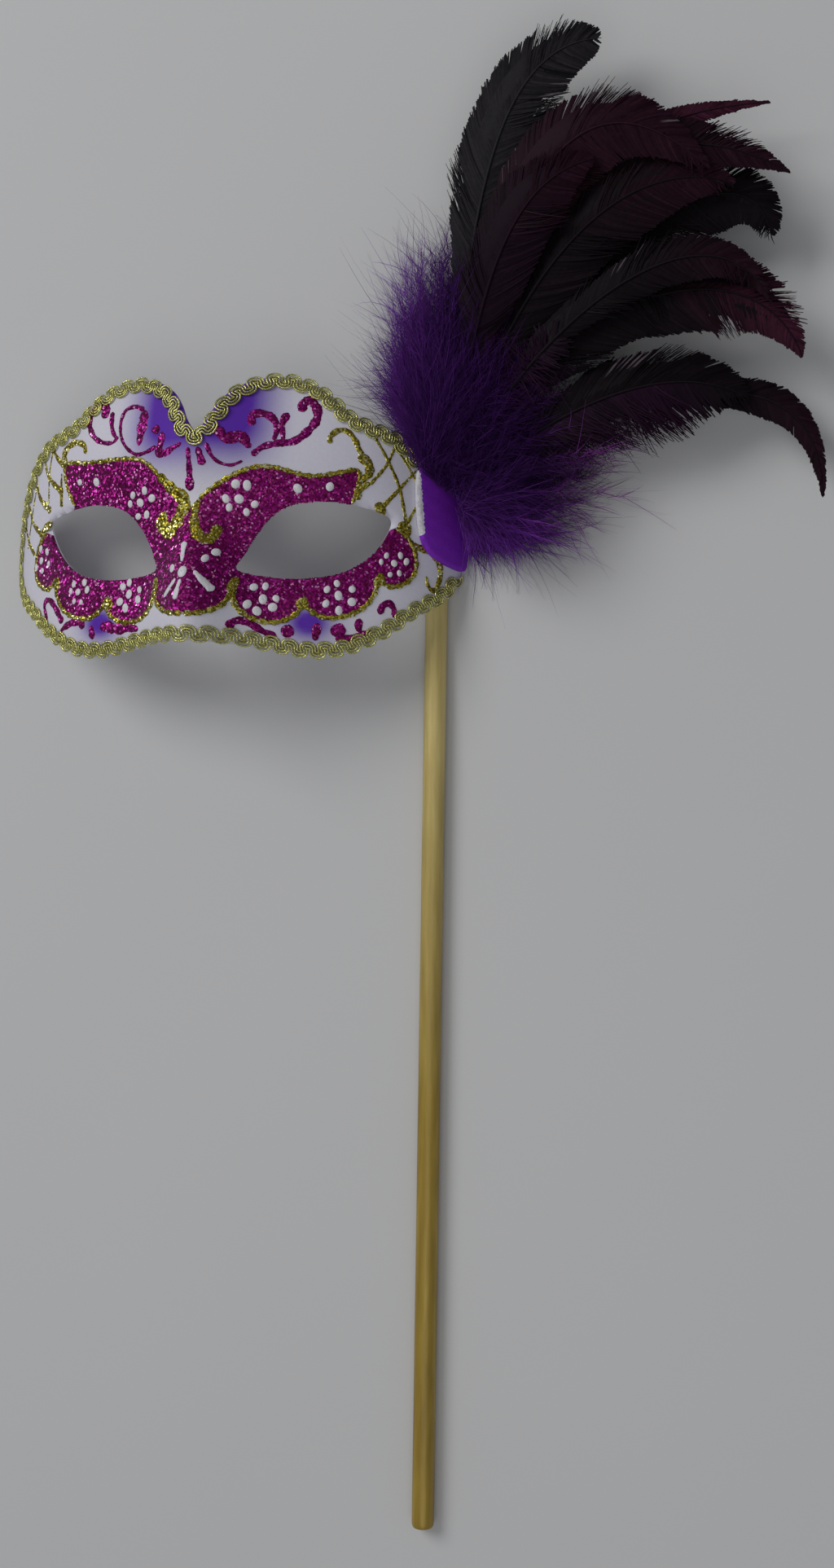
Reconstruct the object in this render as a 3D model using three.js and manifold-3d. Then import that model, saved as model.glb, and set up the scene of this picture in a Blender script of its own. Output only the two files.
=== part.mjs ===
import * as THREE from "three";
import { mergeVertices } from "three/addons/utils/BufferGeometryUtils.js";
import Module from "manifold-3d";

const wasm = await Module();
wasm.setup();

// Half mask on a stick, lying on its back: X across the face, Y up the face, Z out of the face, in mm.

// Stick: a round dowel along Y, whose underside lies on the floor
const STICK_RADIUS = 4;
const STICK_LENGTH = 369;
const STICK_SIDES = 24;
const STICK_CHAMFER = 0.8;

// Place of the mask's centre line and temple line, seen from the lower end of the stick
const MASK_X = -76;
const MASK_Y = 344;

// Face surface: an elliptic sweep round the head with a falling brow, eye sockets, a nose and a raised mid brow
const WALL = 1.8;
const SWEEP_A = 90;
const SWEEP_B = 66;
const SWEEP_DROP = 19.8;
const BROW = { start: 28, span: 37, fall: 9 };
const CHEEK = { start: -16, span: 18, fall: 3 };
const SOCKET = { u: 41, v: 7, radiusU: 26, radiusV: 19, depth: 4.5 };
const NOSE = { height: 15, root: 24, full: -14, halfTop: 9, halfBottom: 16, wideFrom: 16, wideTo: -28 };
const RIDGE = { height: 6.5, half: 18, low: 18, high: 46 };
const PANEL_STEP = 5.4;
const DOME = 0.004;

// Right half of the rim from the brow notch to the middle of the lower edge, u across and v up
const RIM = [
  { u: 0, v: 43.2 },
  { u: 3.9, v: 48.4 },
  { u: 6.4, v: 53.4 },
  { u: 10.8, v: 59 },
  { u: 17.5, v: 63.2 },
  { u: 27, v: 65.2 },
  { u: 38, v: 62.4 },
  { u: 45.6, v: 57 },
  { u: 51, v: 52 },
  { u: 58, v: 48.6 },
  { u: 66, v: 45 },
  { u: 74.2, v: 35 },
  { u: 81.6, v: 19.5 },
  { u: 85.4, v: 1 },
  { u: 81, v: -11 },
  { u: 72, v: -18.8 },
  { u: 63, v: -26.2 },
  { u: 51, v: -32.4 },
  { u: 39, v: -33.9 },
  { u: 28, v: -32.4 },
  { u: 15, v: -30.2 },
  { u: 0, v: -29.6 },
];
const RIM_POINTS = 72;

// Right eye hole, from the inner corner over the upper lid to the outer corner and back
const EYE = [
  { u: 14.8, v: -4.4 },
  { u: 16.4, v: 1 },
  { u: 20.2, v: 8.4 },
  { u: 25.3, v: 14.8 },
  { u: 30.5, v: 18.4 },
  { u: 37, v: 20.1 },
  { u: 46, v: 20.4 },
  { u: 55, v: 19 },
  { u: 64, v: 15.6 },
  { u: 62.2, v: 8.5 },
  { u: 56.5, v: 1 },
  { u: 48, v: -4.4 },
  { u: 37, v: -6.6 },
  { u: 25, v: -6.5 },
];
const EYE_POINTS = 40;

// Braid: a strip along the rim, glued on the front, that stops on both sides of the pad
const BRAID = { outer: 0.2, inner: 5.8, low: 0.5, high: 1.8, points: 150 };
const BRAID_STOP = { u: 70, vTop: 35.8, vBottom: -4.4 };

// Pad: a felt patch over the right temple
const PAD = { low: 0.4, high: 2.2, step: 5 };
const PAD_CORNERS = [
  { u: 73, v: 32.5 },
  { u: 78, v: 31 },
  { u: 82.6, v: 26 },
  { u: 84.6, v: 19 },
  { u: 85.2, v: 3 },
  { u: 83.2, v: -0.8 },
  { u: 74.8, v: 7 },
];

// Plume: where all quills meet
const ROOT = new THREE.Vector3(6, 366, 17);

// Cock feathers: each spine leaves the root along the first handle and reaches the tip from the second
const COQUE_STEPS = 12;
const COQUE_THICK = 1.2;
const QUILL_WIDTH = 2.4;
const COQUE = [
  { near: [13, 440, 24], far: [16, 523, 30], tip: [60, 522, 28], width: 26, blunt: 0.95, from: 0.34 },
  { near: [20, 442, 30], far: [43, 526, 42], tip: [98, 473, 36], width: 28, blunt: 0.4, from: 0.34 },
  { near: [12, 455, 24], far: [55, 498, 28], tip: [117, 497, 27], width: 12, blunt: 0.1, from: 0.36 },
  { near: [20, 460, 26], far: [70, 505, 36], tip: [124, 472, 31], width: 22, blunt: 0.2, from: 0.36 },
  { near: [30, 440, 22], far: [110, 495, 30], tip: [118, 453, 23], width: 24, blunt: 0.7, from: 0.36 },
  { near: [30, 418, 34], far: [98, 470, 46], tip: [119, 428, 36], width: 15, blunt: 0.3, from: 0.38 },
  { near: [40, 436, 28], far: [113, 454, 37], tip: [129, 411, 28], width: 26, blunt: 0.3, from: 0.36 },
  { near: [35, 390, 25], far: [80, 416, 30], tip: [111, 399, 22], width: 24, blunt: 0.8, from: 0.36 },
  { near: [50, 392, 20], far: [134, 431, 21], tip: [136, 366, 15], width: 12, blunt: 0.3, from: 0.5 },
];

// Down: locks that leave the root at an angle in the plane of the face and end at a reach from it
const DOWN_LOCKS = [
  { angle: -75, reach: 26 },
  { angle: -52, reach: 30 },
  { angle: -32, reach: 48 },
  { angle: -15, reach: 60 },
  { angle: 1, reach: 75 },
  { angle: 16, reach: 86 },
  { angle: 32, reach: 78 },
  { angle: 49, reach: 72 },
  { angle: 66, reach: 84 },
  { angle: 81, reach: 100 },
  { angle: 95, reach: 108 },
  { angle: 107, reach: 96 },
  { angle: 119, reach: 76 },
  { angle: 132, reach: 54 },
];
const DOWN_LAYERS = [
  { name: "floor", middle: 6, end: 5, share: 0.96, radius: 9, turn: 0 },
  { name: "front", middle: 35, end: 24, share: 0.9, radius: 9, turn: 6 },
];
const DOWN_HEART = { x: 16, y: 395, z: 19, radiusX: 22, radiusY: 30, radiusZ: 20 };
const LOCK_SIDES = 5;
const LOCK_STEPS = 4;
const GAP = 0.35;

// Arc length along the elliptic sweep, tabled once so that flat patterns can be laid round the head
const ARC = [{ u: 0, p: 0 }];
const ARC_END = 88.5;
const ARC_STEPS = 600;

function sweep(u) {
  return SWEEP_B * Math.sqrt(1 - (u / SWEEP_A) ** 2) - SWEEP_DROP;
}

for (let i = 1; i <= ARC_STEPS; i += 1) {
  const last = ARC[i - 1];
  const u = (ARC_END * i) / ARC_STEPS;
  ARC.push({ u, p: last.p + Math.hypot(u - last.u, sweep(u) - sweep(last.u)) });
}

function arcAt(u) {
  const place = (Math.abs(u) / ARC_END) * ARC_STEPS;
  const i = Math.min(Math.floor(place), ARC_STEPS - 1);
  const p = THREE.MathUtils.lerp(ARC[i].p, ARC[i + 1].p, place - i);
  return Math.sign(u) * p;
}

function acrossAt(p) {
  const far = Math.min(Math.abs(p), ARC[ARC_STEPS].p);
  let low = 0;
  let high = ARC_STEPS;
  while (high - low > 1) {
    const middle = (low + high) >> 1;
    if (ARC[middle].p > far) {
      high = middle;
    } else {
      low = middle;
    }
  }
  const part = (far - ARC[low].p) / (ARC[high].p - ARC[low].p);
  return Math.sign(p) * THREE.MathUtils.lerp(ARC[low].u, ARC[high].u, part);
}

// Height of the front of the face over the floor
function faceHeight(u, v) {
  const side = Math.abs(u);
  const brow = BROW.fall * (Math.max(v - BROW.start, 0) / BROW.span) ** 2;
  const cheek = CHEEK.fall * (Math.max(CHEEK.start - v, 0) / CHEEK.span) ** 2;
  const socketU = ((side - SOCKET.u) / SOCKET.radiusU) ** 2;
  const socketV = ((v - SOCKET.v) / SOCKET.radiusV) ** 2;
  const socket = SOCKET.depth * Math.exp(-socketU - socketV);
  const rise = NOSE.height * (1 - THREE.MathUtils.smoothstep(v, NOSE.full, NOSE.root));
  const widen = 1 - THREE.MathUtils.smoothstep(v, NOSE.wideTo, NOSE.wideFrom);
  const half = THREE.MathUtils.lerp(NOSE.halfTop, NOSE.halfBottom, widen);
  const nose = rise * Math.exp(-((side / half) ** 2));
  const raised = THREE.MathUtils.smoothstep(v, RIDGE.low, RIDGE.high);
  const ridge = RIDGE.height * raised * Math.exp(-((side / RIDGE.half) ** 2));
  return sweep(u) - brow - cheek - socket + nose + ridge;
}

// A point of a flat pattern, p along the sweep and v up, laid on the face and lifted off it
function onFace(point, lift) {
  const u = acrossAt(point.x);
  const v = point.y;
  const d = 0.05;
  const slopeU = (faceHeight(u + d, v) - faceHeight(u - d, v)) / (2 * d);
  const slopeV = (faceHeight(u, v + d) - faceHeight(u, v - d)) / (2 * d);
  const normal = new THREE.Vector3(-slopeU, -slopeV, 1).normalize();
  return point.set(u, v, faceHeight(u, v)).addScaledVector(normal, lift);
}

function movePoints(geometry, move) {
  const position = geometry.attributes.position;
  const point = new THREE.Vector3();
  for (let i = 0; i < position.count; i += 1) {
    point.fromBufferAttribute(position, i);
    move(point);
    position.setXYZ(i, point.x, point.y, point.z);
  }
  return geometry;
}

function solidOf(geometry) {
  const plain = geometry.clone();
  plain.deleteAttribute("normal");
  plain.deleteAttribute("uv");
  const merged = mergeVertices(plain, 1e-4);
  const mesh = new wasm.Mesh({
    numProp: 3,
    vertProperties: new Float32Array(merged.attributes.position.array),
    triVerts: new Uint32Array(merged.index.array),
  });
  return new wasm.Manifold(mesh);
}

function geometryOf(solid) {
  const mesh = solid.getMesh();
  const geometry = new THREE.BufferGeometry();
  geometry.setAttribute("position", new THREE.BufferAttribute(new Float32Array(mesh.vertProperties), 3));
  geometry.setIndex(new THREE.BufferAttribute(new Uint32Array(mesh.triVerts), 1));
  return geometry;
}

function largestBody(solid) {
  const bodies = solid.decompose();
  bodies.sort((a, b) => b.volume() - a.volume());
  return bodies[0];
}

function flatCurve(rows, closed, count) {
  const points = rows.map((row) => new THREE.Vector3(arcAt(row.u), row.v, 0));
  const curve = new THREE.CatmullRomCurve3(points, closed, "centripetal");
  const spaced = curve.getSpacedPoints(count).map((point) => new THREE.Vector2(point.x, point.y));
  return closed ? spaced.slice(0, -1) : spaced;
}

function mirrored(points) {
  return points.map((point) => new THREE.Vector2(-point.x, point.y)).reverse();
}

// The whole rim as one flat loop, clockwise from the notch
function rimLoop(count) {
  const right = flatCurve(RIM, false, count);
  return right.concat(mirrored(right).slice(1, -1));
}

// The loop moved inward by a distance, along the bisector at each point
function inset(loop, distance) {
  return loop.map((point, i) => {
    const before = loop[(i + loop.length - 1) % loop.length];
    const after = loop[(i + 1) % loop.length];
    const along = new THREE.Vector2().subVectors(after, before).normalize();
    return new THREE.Vector2(point.x + along.y * distance, point.y - along.x * distance);
  });
}

function prism(outline) {
  const geometry = new THREE.ExtrudeGeometry(new THREE.Shape(outline), { depth: 200, bevelEnabled: false });
  return solidOf(geometry.translate(0, 0, -60));
}

function dome(point) {
  return DOME * (point.x ** 2 + point.y ** 2);
}

// A sheet of the face surface between two lifts, cut to a flat outline with holes
function facePanel(outline, holes, low, high, step) {
  const box = new THREE.Box2().setFromPoints(outline).expandByScalar(2);
  const size = box.getSize(new THREE.Vector2());
  const centre = box.getCenter(new THREE.Vector2());
  const columns = Math.ceil(size.x / step);
  const rows = Math.ceil(size.y / step);
  const slab = new THREE.BoxGeometry(size.x, size.y, high - low, columns, rows, 1);
  slab.translate(centre.x, centre.y, (low + high) / 2);
  movePoints(slab, (point) => point.setZ(point.z + dome(point)));
  let solid = solidOf(slab).intersect(prism(outline));
  for (const hole of holes) {
    solid = solid.subtract(prism(hole));
  }
  return movePoints(geometryOf(solid), (point) => onFace(point, point.z - dome(point)));
}

// A strip with four corners at each point of two edge lines, laid on the face
function faceStrip(outer, inner, low, high) {
  const strip = new THREE.BoxGeometry(1, 1, 1, 1, outer.length - 1, 1);
  return movePoints(strip, (point) => {
    const i = Math.round((point.y + 0.5) * (outer.length - 1));
    const edge = point.x > 0 ? inner[i] : outer[i];
    const lift = point.z > 0 ? high : low;
    onFace(point.set(edge.x, edge.y, 0), lift);
  });
}

function shellGeometry() {
  const eye = flatCurve(EYE, true, EYE_POINTS);
  return facePanel(rimLoop(RIM_POINTS), [eye, mirrored(eye)], -WALL, 0, PANEL_STEP);
}

// The braid runs from below the pad along the lower edge, round the left temple and over the brow
function braidGeometry() {
  const loop = rimLoop(BRAID.points);
  const outer = inset(loop, BRAID.outer);
  const inner = inset(loop, BRAID.inner);
  const stopped = (point) => {
    const beside = acrossAt(point.x) > BRAID_STOP.u;
    return beside && point.y < BRAID_STOP.vTop && point.y > BRAID_STOP.vBottom;
  };
  const first = loop.findLastIndex(stopped) + 1;
  const last = loop.findIndex(stopped);
  const order = [];
  for (let i = first; i < loop.length + last; i += 2) {
    order.push(i % loop.length);
  }
  const pick = (line) => order.map((i) => line[i]);
  return faceStrip(pick(outer), pick(inner), BRAID.low, BRAID.high);
}

function padOutline(grow) {
  const corners = flatCurve(PAD_CORNERS, true, 36);
  return inset(corners, -grow);
}

function stickGeometry() {
  const radius = STICK_RADIUS / Math.cos(Math.PI / STICK_SIDES);
  const profile = [
    new THREE.Vector2(0, 0),
    new THREE.Vector2(radius - STICK_CHAMFER, 0),
    new THREE.Vector2(radius, STICK_CHAMFER),
    new THREE.Vector2(radius, STICK_LENGTH),
    new THREE.Vector2(0, STICK_LENGTH),
  ];
  const geometry = new THREE.LatheGeometry(profile, STICK_SIDES);
  return geometry.rotateY(Math.PI / STICK_SIDES);
}

// One leaf bent along a spine: a narrow quill that widens to a vane and closes at the tip
function leafSolid(row, grow) {
  const near = new THREE.Vector3(...row.near);
  const far = new THREE.Vector3(...row.far);
  const tip = new THREE.Vector3(...row.tip);
  const spine = new THREE.CubicBezierCurve3(ROOT, near, far, tip);
  const leaf = new THREE.BoxGeometry(1, 1, 1, 2, COQUE_STEPS, 1);
  const up = new THREE.Vector3(0, 0, 1);
  return solidOf(movePoints(leaf, (point) => {
    const t = point.y + 0.5;
    const along = spine.getTangent(t);
    const side = new THREE.Vector3().crossVectors(along, up).normalize();
    const out = new THREE.Vector3().crossVectors(side, along).normalize();
    const open = THREE.MathUtils.smoothstep(t, row.from - 0.12, row.from + 0.22);
    const close = Math.pow(Math.max(1 - t, 0), THREE.MathUtils.lerp(0.9, 0.35, row.blunt));
    const full = Math.min(1, close * THREE.MathUtils.lerp(3.2, 1.6, row.blunt));
    const width = Math.max(THREE.MathUtils.lerp(QUILL_WIDTH, row.width, open) * full, 1.6);
    const roof = 0.12 * width * (0.5 - Math.abs(point.x));
    const x = point.x * (width + 2 * grow);
    const z = point.z * (COQUE_THICK + 2 * grow) + roof;
    point.copy(spine.getPoint(t)).addScaledVector(side, x).addScaledVector(out, z);
  }));
}

function rootBlock(grow) {
  const block = new THREE.SphereGeometry(4 + grow, 10, 8);
  return solidOf(block.translate(ROOT.x, ROOT.y, ROOT.z));
}

function coqueSolid(grow) {
  return COQUE.reduce((fan, row) => fan.add(leafSolid(row, grow)), rootBlock(grow));
}

// One tapered lock of down, from the root over its middle height to its end
function lockSolid(row, layer) {
  const angle = THREE.MathUtils.degToRad(row.angle + layer.turn);
  const reach = row.reach * layer.share;
  const heading = new THREE.Vector3(Math.cos(angle), Math.sin(angle), 0);
  const middle = ROOT.clone().addScaledVector(heading, reach * 0.5).setZ(layer.middle);
  const end = ROOT.clone().addScaledVector(heading, reach).setZ(layer.end);
  const path = new THREE.CatmullRomCurve3([ROOT, middle, end]);
  const lock = new THREE.CylinderGeometry(1, 1, 1, LOCK_SIDES, LOCK_STEPS);
  return solidOf(movePoints(lock, (point) => {
    const t = point.y + 0.5;
    const along = path.getTangent(t);
    const side = new THREE.Vector3(-heading.y, heading.x, 0);
    const out = new THREE.Vector3().crossVectors(side, along).normalize();
    const radius = layer.radius * (0.45 + 0.9 * t) * Math.sqrt(1 - 0.985 * t);
    const x = point.x * radius * 1.25;
    const z = point.z * radius;
    point.copy(path.getPoint(t)).addScaledVector(side, x).addScaledVector(out, z);
  }));
}

function maskSpace() {
  const wall = facePanel(inset(rimLoop(RIM_POINTS), -1), [], -WALL - GAP, BRAID.high + GAP, PANEL_STEP);
  const pad = facePanel(padOutline(GAP), [], PAD.low - GAP, PAD.high + GAP, PAD.step);
  return solidOf(wall).add(solidOf(pad)).translate([MASK_X, MASK_Y, 0]);
}

function stickSpace() {
  const space = new THREE.CylinderGeometry(STICK_RADIUS + 0.5, STICK_RADIUS + 0.5, STICK_LENGTH + 1, 16);
  return solidOf(space.translate(0, STICK_LENGTH / 2, STICK_RADIUS));
}

function marabouGeometry(space) {
  const heart = new THREE.SphereGeometry(1, 12, 8);
  heart.scale(DOWN_HEART.radiusX, DOWN_HEART.radiusY, DOWN_HEART.radiusZ);
  heart.translate(DOWN_HEART.x, DOWN_HEART.y, DOWN_HEART.z);
  let down = solidOf(heart);
  for (const layer of DOWN_LAYERS) {
    for (const row of DOWN_LOCKS) {
      down = down.add(lockSolid(row, layer));
    }
  }
  const floor = new THREE.BoxGeometry(600, 900, 60).translate(0, 300, -30);
  down = down.subtract(solidOf(floor)).subtract(space).subtract(stickSpace());
  return geometryOf(largestBody(down.subtract(coqueSolid(GAP))));
}

function coqueGeometry(space) {
  return geometryOf(largestBody(coqueSolid(0).subtract(space)));
}

function piece(name, geometry, colour, roughness, metalness) {
  const material = new THREE.MeshStandardMaterial({ color: colour, roughness, metalness });
  const mesh = new THREE.Mesh(geometry, material);
  mesh.name = name;
  mesh.geometry.computeVertexNormals();
  return mesh;
}

const mask = new THREE.Group();
mask.position.set(MASK_X, MASK_Y, 0);
mask.add(piece("mask_shell", shellGeometry(), 0xe4e2ea, 0.45, 0));
mask.add(piece("gold_braid", braidGeometry(), 0x8f8047, 0.4, 0.6));
mask.add(piece("feather_pad", facePanel(padOutline(0), [], PAD.low, PAD.high, PAD.step), 0x3d1f66, 0.9, 0));

const stick = piece("stick", stickGeometry(), 0x82754a, 0.5, 0.3);
stick.position.set(0, 0, STICK_RADIUS);

const space = maskSpace();
const marabou = piece("marabou", marabouGeometry(space), 0x2c1150, 0.95, 0);
const coque = piece("coque_fan", coqueGeometry(space), 0x1a1014, 0.5, 0);

// The origin is at the middle of the whole object's underside
const whole = new THREE.Group();
whole.add(mask, stick, marabou, coque);
whole.updateMatrixWorld(true);
const bounds = new THREE.Box3().setFromObject(whole, true);
const middle = bounds.getCenter(new THREE.Vector3());
whole.position.set(-middle.x, -middle.y, -bounds.min.z);

const group = new THREE.Group();
group.add(whole);

export default group;
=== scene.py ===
import math
import bpy
import numpy as np
from mathutils import Matrix, Vector
from mathutils.geometry import delaunay_2d_cdt


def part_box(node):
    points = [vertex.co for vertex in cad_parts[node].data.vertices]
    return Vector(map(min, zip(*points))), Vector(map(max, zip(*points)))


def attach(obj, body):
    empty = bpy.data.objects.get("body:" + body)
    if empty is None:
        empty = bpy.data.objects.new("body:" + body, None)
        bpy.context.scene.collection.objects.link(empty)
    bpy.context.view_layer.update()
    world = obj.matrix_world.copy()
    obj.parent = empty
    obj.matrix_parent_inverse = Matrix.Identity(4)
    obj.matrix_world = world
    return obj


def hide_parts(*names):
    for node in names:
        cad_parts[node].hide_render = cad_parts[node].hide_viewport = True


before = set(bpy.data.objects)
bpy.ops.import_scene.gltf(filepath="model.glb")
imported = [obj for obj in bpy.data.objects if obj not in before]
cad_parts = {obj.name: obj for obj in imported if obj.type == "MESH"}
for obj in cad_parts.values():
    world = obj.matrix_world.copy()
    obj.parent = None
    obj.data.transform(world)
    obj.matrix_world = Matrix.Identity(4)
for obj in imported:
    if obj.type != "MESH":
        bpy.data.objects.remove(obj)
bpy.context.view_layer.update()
scene = bpy.context.scene
rng = np.random.default_rng(11)

# Lengths below are in mm from the lower end of the stick's axis, as it lies on the floor
MM = 0.001
UP = np.array([0.0, 0.0, 1.0])
STICK_RADIUS = 4.0
STICK_LENGTH = 369.0
stick_low, stick_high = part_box("stick")
OFFSET = np.array([(stick_low.x + stick_high.x) / 2, stick_low.y, stick_low.z]) / MM

# Stick: worn lower end, body and chamfered upper end, as places along it and radii
LOWER_END = [(0, 0.02), (0, 2.9), (0.25, 3.45), (0.7, 3.75), (1.4, 3.93)]
BODY_START, BODY_STOP, BODY_RADIUS, BODY_RINGS = 2.2, STICK_LENGTH - 0.8, 3.98, 150
UPPER_END = [(STICK_LENGTH, 3.5), (STICK_LENGTH, 0.02)]
STICK_SIDES, STICK_WOBBLE, STICK_SHARP = 48, 0.004, math.radians(40)
# Gold paint of the stick: its low colours and its high ones with painted light, and where it passes from one
# to the other
GILT_LOW = [(0.3, (0.26, 0.165, 0.02)), (0.55, (0.36, 0.24, 0.032)), (0.8, (0.46, 0.32, 0.055))]
GILT_HIGH_WITH_PAINTED_LIGHT = [(0.3, (0.54, 0.43, 0.155)), (0.55, (0.7, 0.57, 0.225)), (0.8, (0.84, 0.71, 0.32))]
GILT_FROM, GILT_TO = 150, 345

# Face surface, the same sweep, brow, sockets, nose and raised mid brow as the solid
MASK = np.array([-76.0, 344.0, 0.0])
WALL = 1.8
SWEEP_A, SWEEP_B, SWEEP_DROP, SWEEP_END = 90.0, 66.0, 19.8, 88.5
BROW_START, BROW_SPAN, BROW_FALL = 28.0, 37.0, 9.0
CHEEK_START, CHEEK_SPAN, CHEEK_FALL = -16.0, 18.0, 3.0
SOCKET_U, SOCKET_V, SOCKET_RU, SOCKET_RV, SOCKET_DEPTH = 41.0, 7.0, 26.0, 19.0, 4.5
NOSE_HEIGHT, NOSE_ROOT, NOSE_FULL = 15.0, 24.0, -14.0
NOSE_HALF_TOP, NOSE_HALF_BOTTOM, NOSE_WIDE_FROM, NOSE_WIDE_TO = 9.0, 16.0, 16.0, -28.0
RIDGE_HEIGHT, RIDGE_HALF, RIDGE_LOW, RIDGE_HIGH = 6.5, 18.0, 18.0, 46.0

# Right half of the rim from the brow notch to the middle of the lower edge, and the right eye hole
RIM = [(0, 43.2), (3.9, 48.4), (6.4, 53.4), (10.8, 59), (17.5, 63.2), (27, 65.2), (38, 62.4), (45.6, 57),
       (51, 52), (58, 48.6), (66, 45), (74.2, 35), (81.6, 19.5), (85.4, 1), (81, -11), (72, -18.8),
       (63, -26.2), (51, -32.4), (39, -33.9), (28, -32.4), (15, -30.2), (0, -29.6)]
EYE = [(14.8, -4.4), (16.4, 1), (20.2, 8.4), (25.3, 14.8), (30.5, 18.4), (37, 20.1), (46, 20.4), (55, 19),
       (64, 15.6), (62.2, 8.5), (56.5, 1), (48, -4.4), (37, -6.6), (25, -6.5)]
# Mesh steps, the width of the rounded edge, and the share of the thickness that the edge keeps
RIM_STEP, EYE_STEP, SHELL_STEP, SHELL_CROWN, SHELL_EDGE = 1.2, 0.9, 1.7, 0.7, 0.35
TRIANGLE_HEIGHT, EDGE_FREE, SPLINE_STEPS = 0.87, 0.6, 24
SHARP_EDGE = math.radians(50)

# Violet spray: on the brow from the middle outward and from low to high, and in a spot on each cheek
SPRAY_BROW, SPRAY_BROW_SIDE, SPRAY_BROW_UP = 1.2, (12, 35), (24, 47)
SPRAY_SPOT, SPOT_MIDDLE, SPOT_SPREAD = 1.25, (38.5, -22), (8, 6)
WHITE_PAINT = np.array([0.67, 0.655, 0.735])
VIOLET_PAINT = np.array([0.11, 0.03, 0.4])

# Felt pad: outline, lifts of its two faces, mesh step and edge; lean, width and lower end of its white edge
PAD = [(71.6, 32.5), (78, 31), (82.6, 26), (84.6, 19), (85.2, 3), (83.2, -0.8), (73.4, 7)]
PAD_LOW, PAD_HIGH, PAD_STEP, PAD_CROWN, PAD_EDGE, PAD_RIPPLE = 0.2, 2.2, 0.8, 0.4, 0.75, 0.12
PAD_LEAN, PAD_WHITE, PAD_WHITE_LOW = 0.07, 0.3, 10.5

# Glitter band: its upper edges from the middle outward, the corners in the right eye hole,
# and its lower lobes from the outer eye corner inward
BAND_LEFT = [(0, 16), (-6, 20), (-11, 24.5), (-15, 29.5), (-18, 32.5), (-22.5, 35), (-29.5, 35.8),
             (-43.5, 35.5), (-52.5, 36.3), (-56, 35.5)]
BAND_LEFT_END = [(-56, 35.5), (-55.5, 31.5), (-54.5, 27.5), (-51.5, 21)]
BAND_RIGHT = [(0, 16), (0.5, 20.5), (4, 23.5), (9.5, 27), (15, 29.8), (20.5, 31.6), (26, 31.7), (34.5, 29.6),
              (39.5, 29), (44.5, 29.8), (53.5, 32)]
BAND_RIGHT_END = [(53.5, 32), (54.2, 29.5), (53.2, 25), (51.5, 20)]
BAND_CORNERS = [(53, 10), (61, 10.5)]
LOBES = [
    [(65.5, 12.5), (69.3, 9), (71.3, 4.2), (71.8, -0.8), (70.7, -4.5), (68.2, -7), (64.3, -8.3),
     (60.3, -6.3)],
    [(60.3, -6.3), (59.6, -10), (58, -13.5), (55.3, -16.7), (51, -19), (46, -20), (41.5, -19.3),
     (36.4, -15.5)],
    [(36.4, -15.5), (34.5, -18.7), (31, -21), (27, -22), (22.3, -21.6), (18, -19.5), (15, -15.8), (14, -9)],
    [(14, -9), (13.7, -12.8), (11.6, -16.7), (8.5, -18.8), (4.5, -20), (0, -20.2)],
]
# Lift and grain of the band, its skirt into the eye holes, and the widths of the gold lines on its edges
BAND_STEP, BAND_LIFT, BAND_GRAIN = 0.8, 0.22, 0.035
SKIRT_INSET, SKIRT_TOP, SKIRT_BOTTOM = 0.08, 0.24, -1.1
EDGE_WIDTH, LOBE_WIDTH = 1.6, 1.85
# Flake colours of the two glitters from dark to bright; the brightest flakes are painted glints
MAGENTA_FLAKES_AND_GLINTS = [(0.0, (0.105, 0.001, 0.052)), (0.45, (0.2, 0.003, 0.11)), (0.74, (0.36, 0.008, 0.22)),
                  (0.88, (0.75, 0.05, 0.5)), (0.96, (1.0, 0.42, 0.82))]
GOLD_FLAKES_AND_GLINTS = [(0.0, (0.13, 0.095, 0.008)), (0.3, (0.27, 0.22, 0.018)), (0.6, (0.45, 0.39, 0.045)),
               (0.82, (0.75, 0.7, 0.2)), (0.94, (1.0, 0.98, 0.62))]

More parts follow.
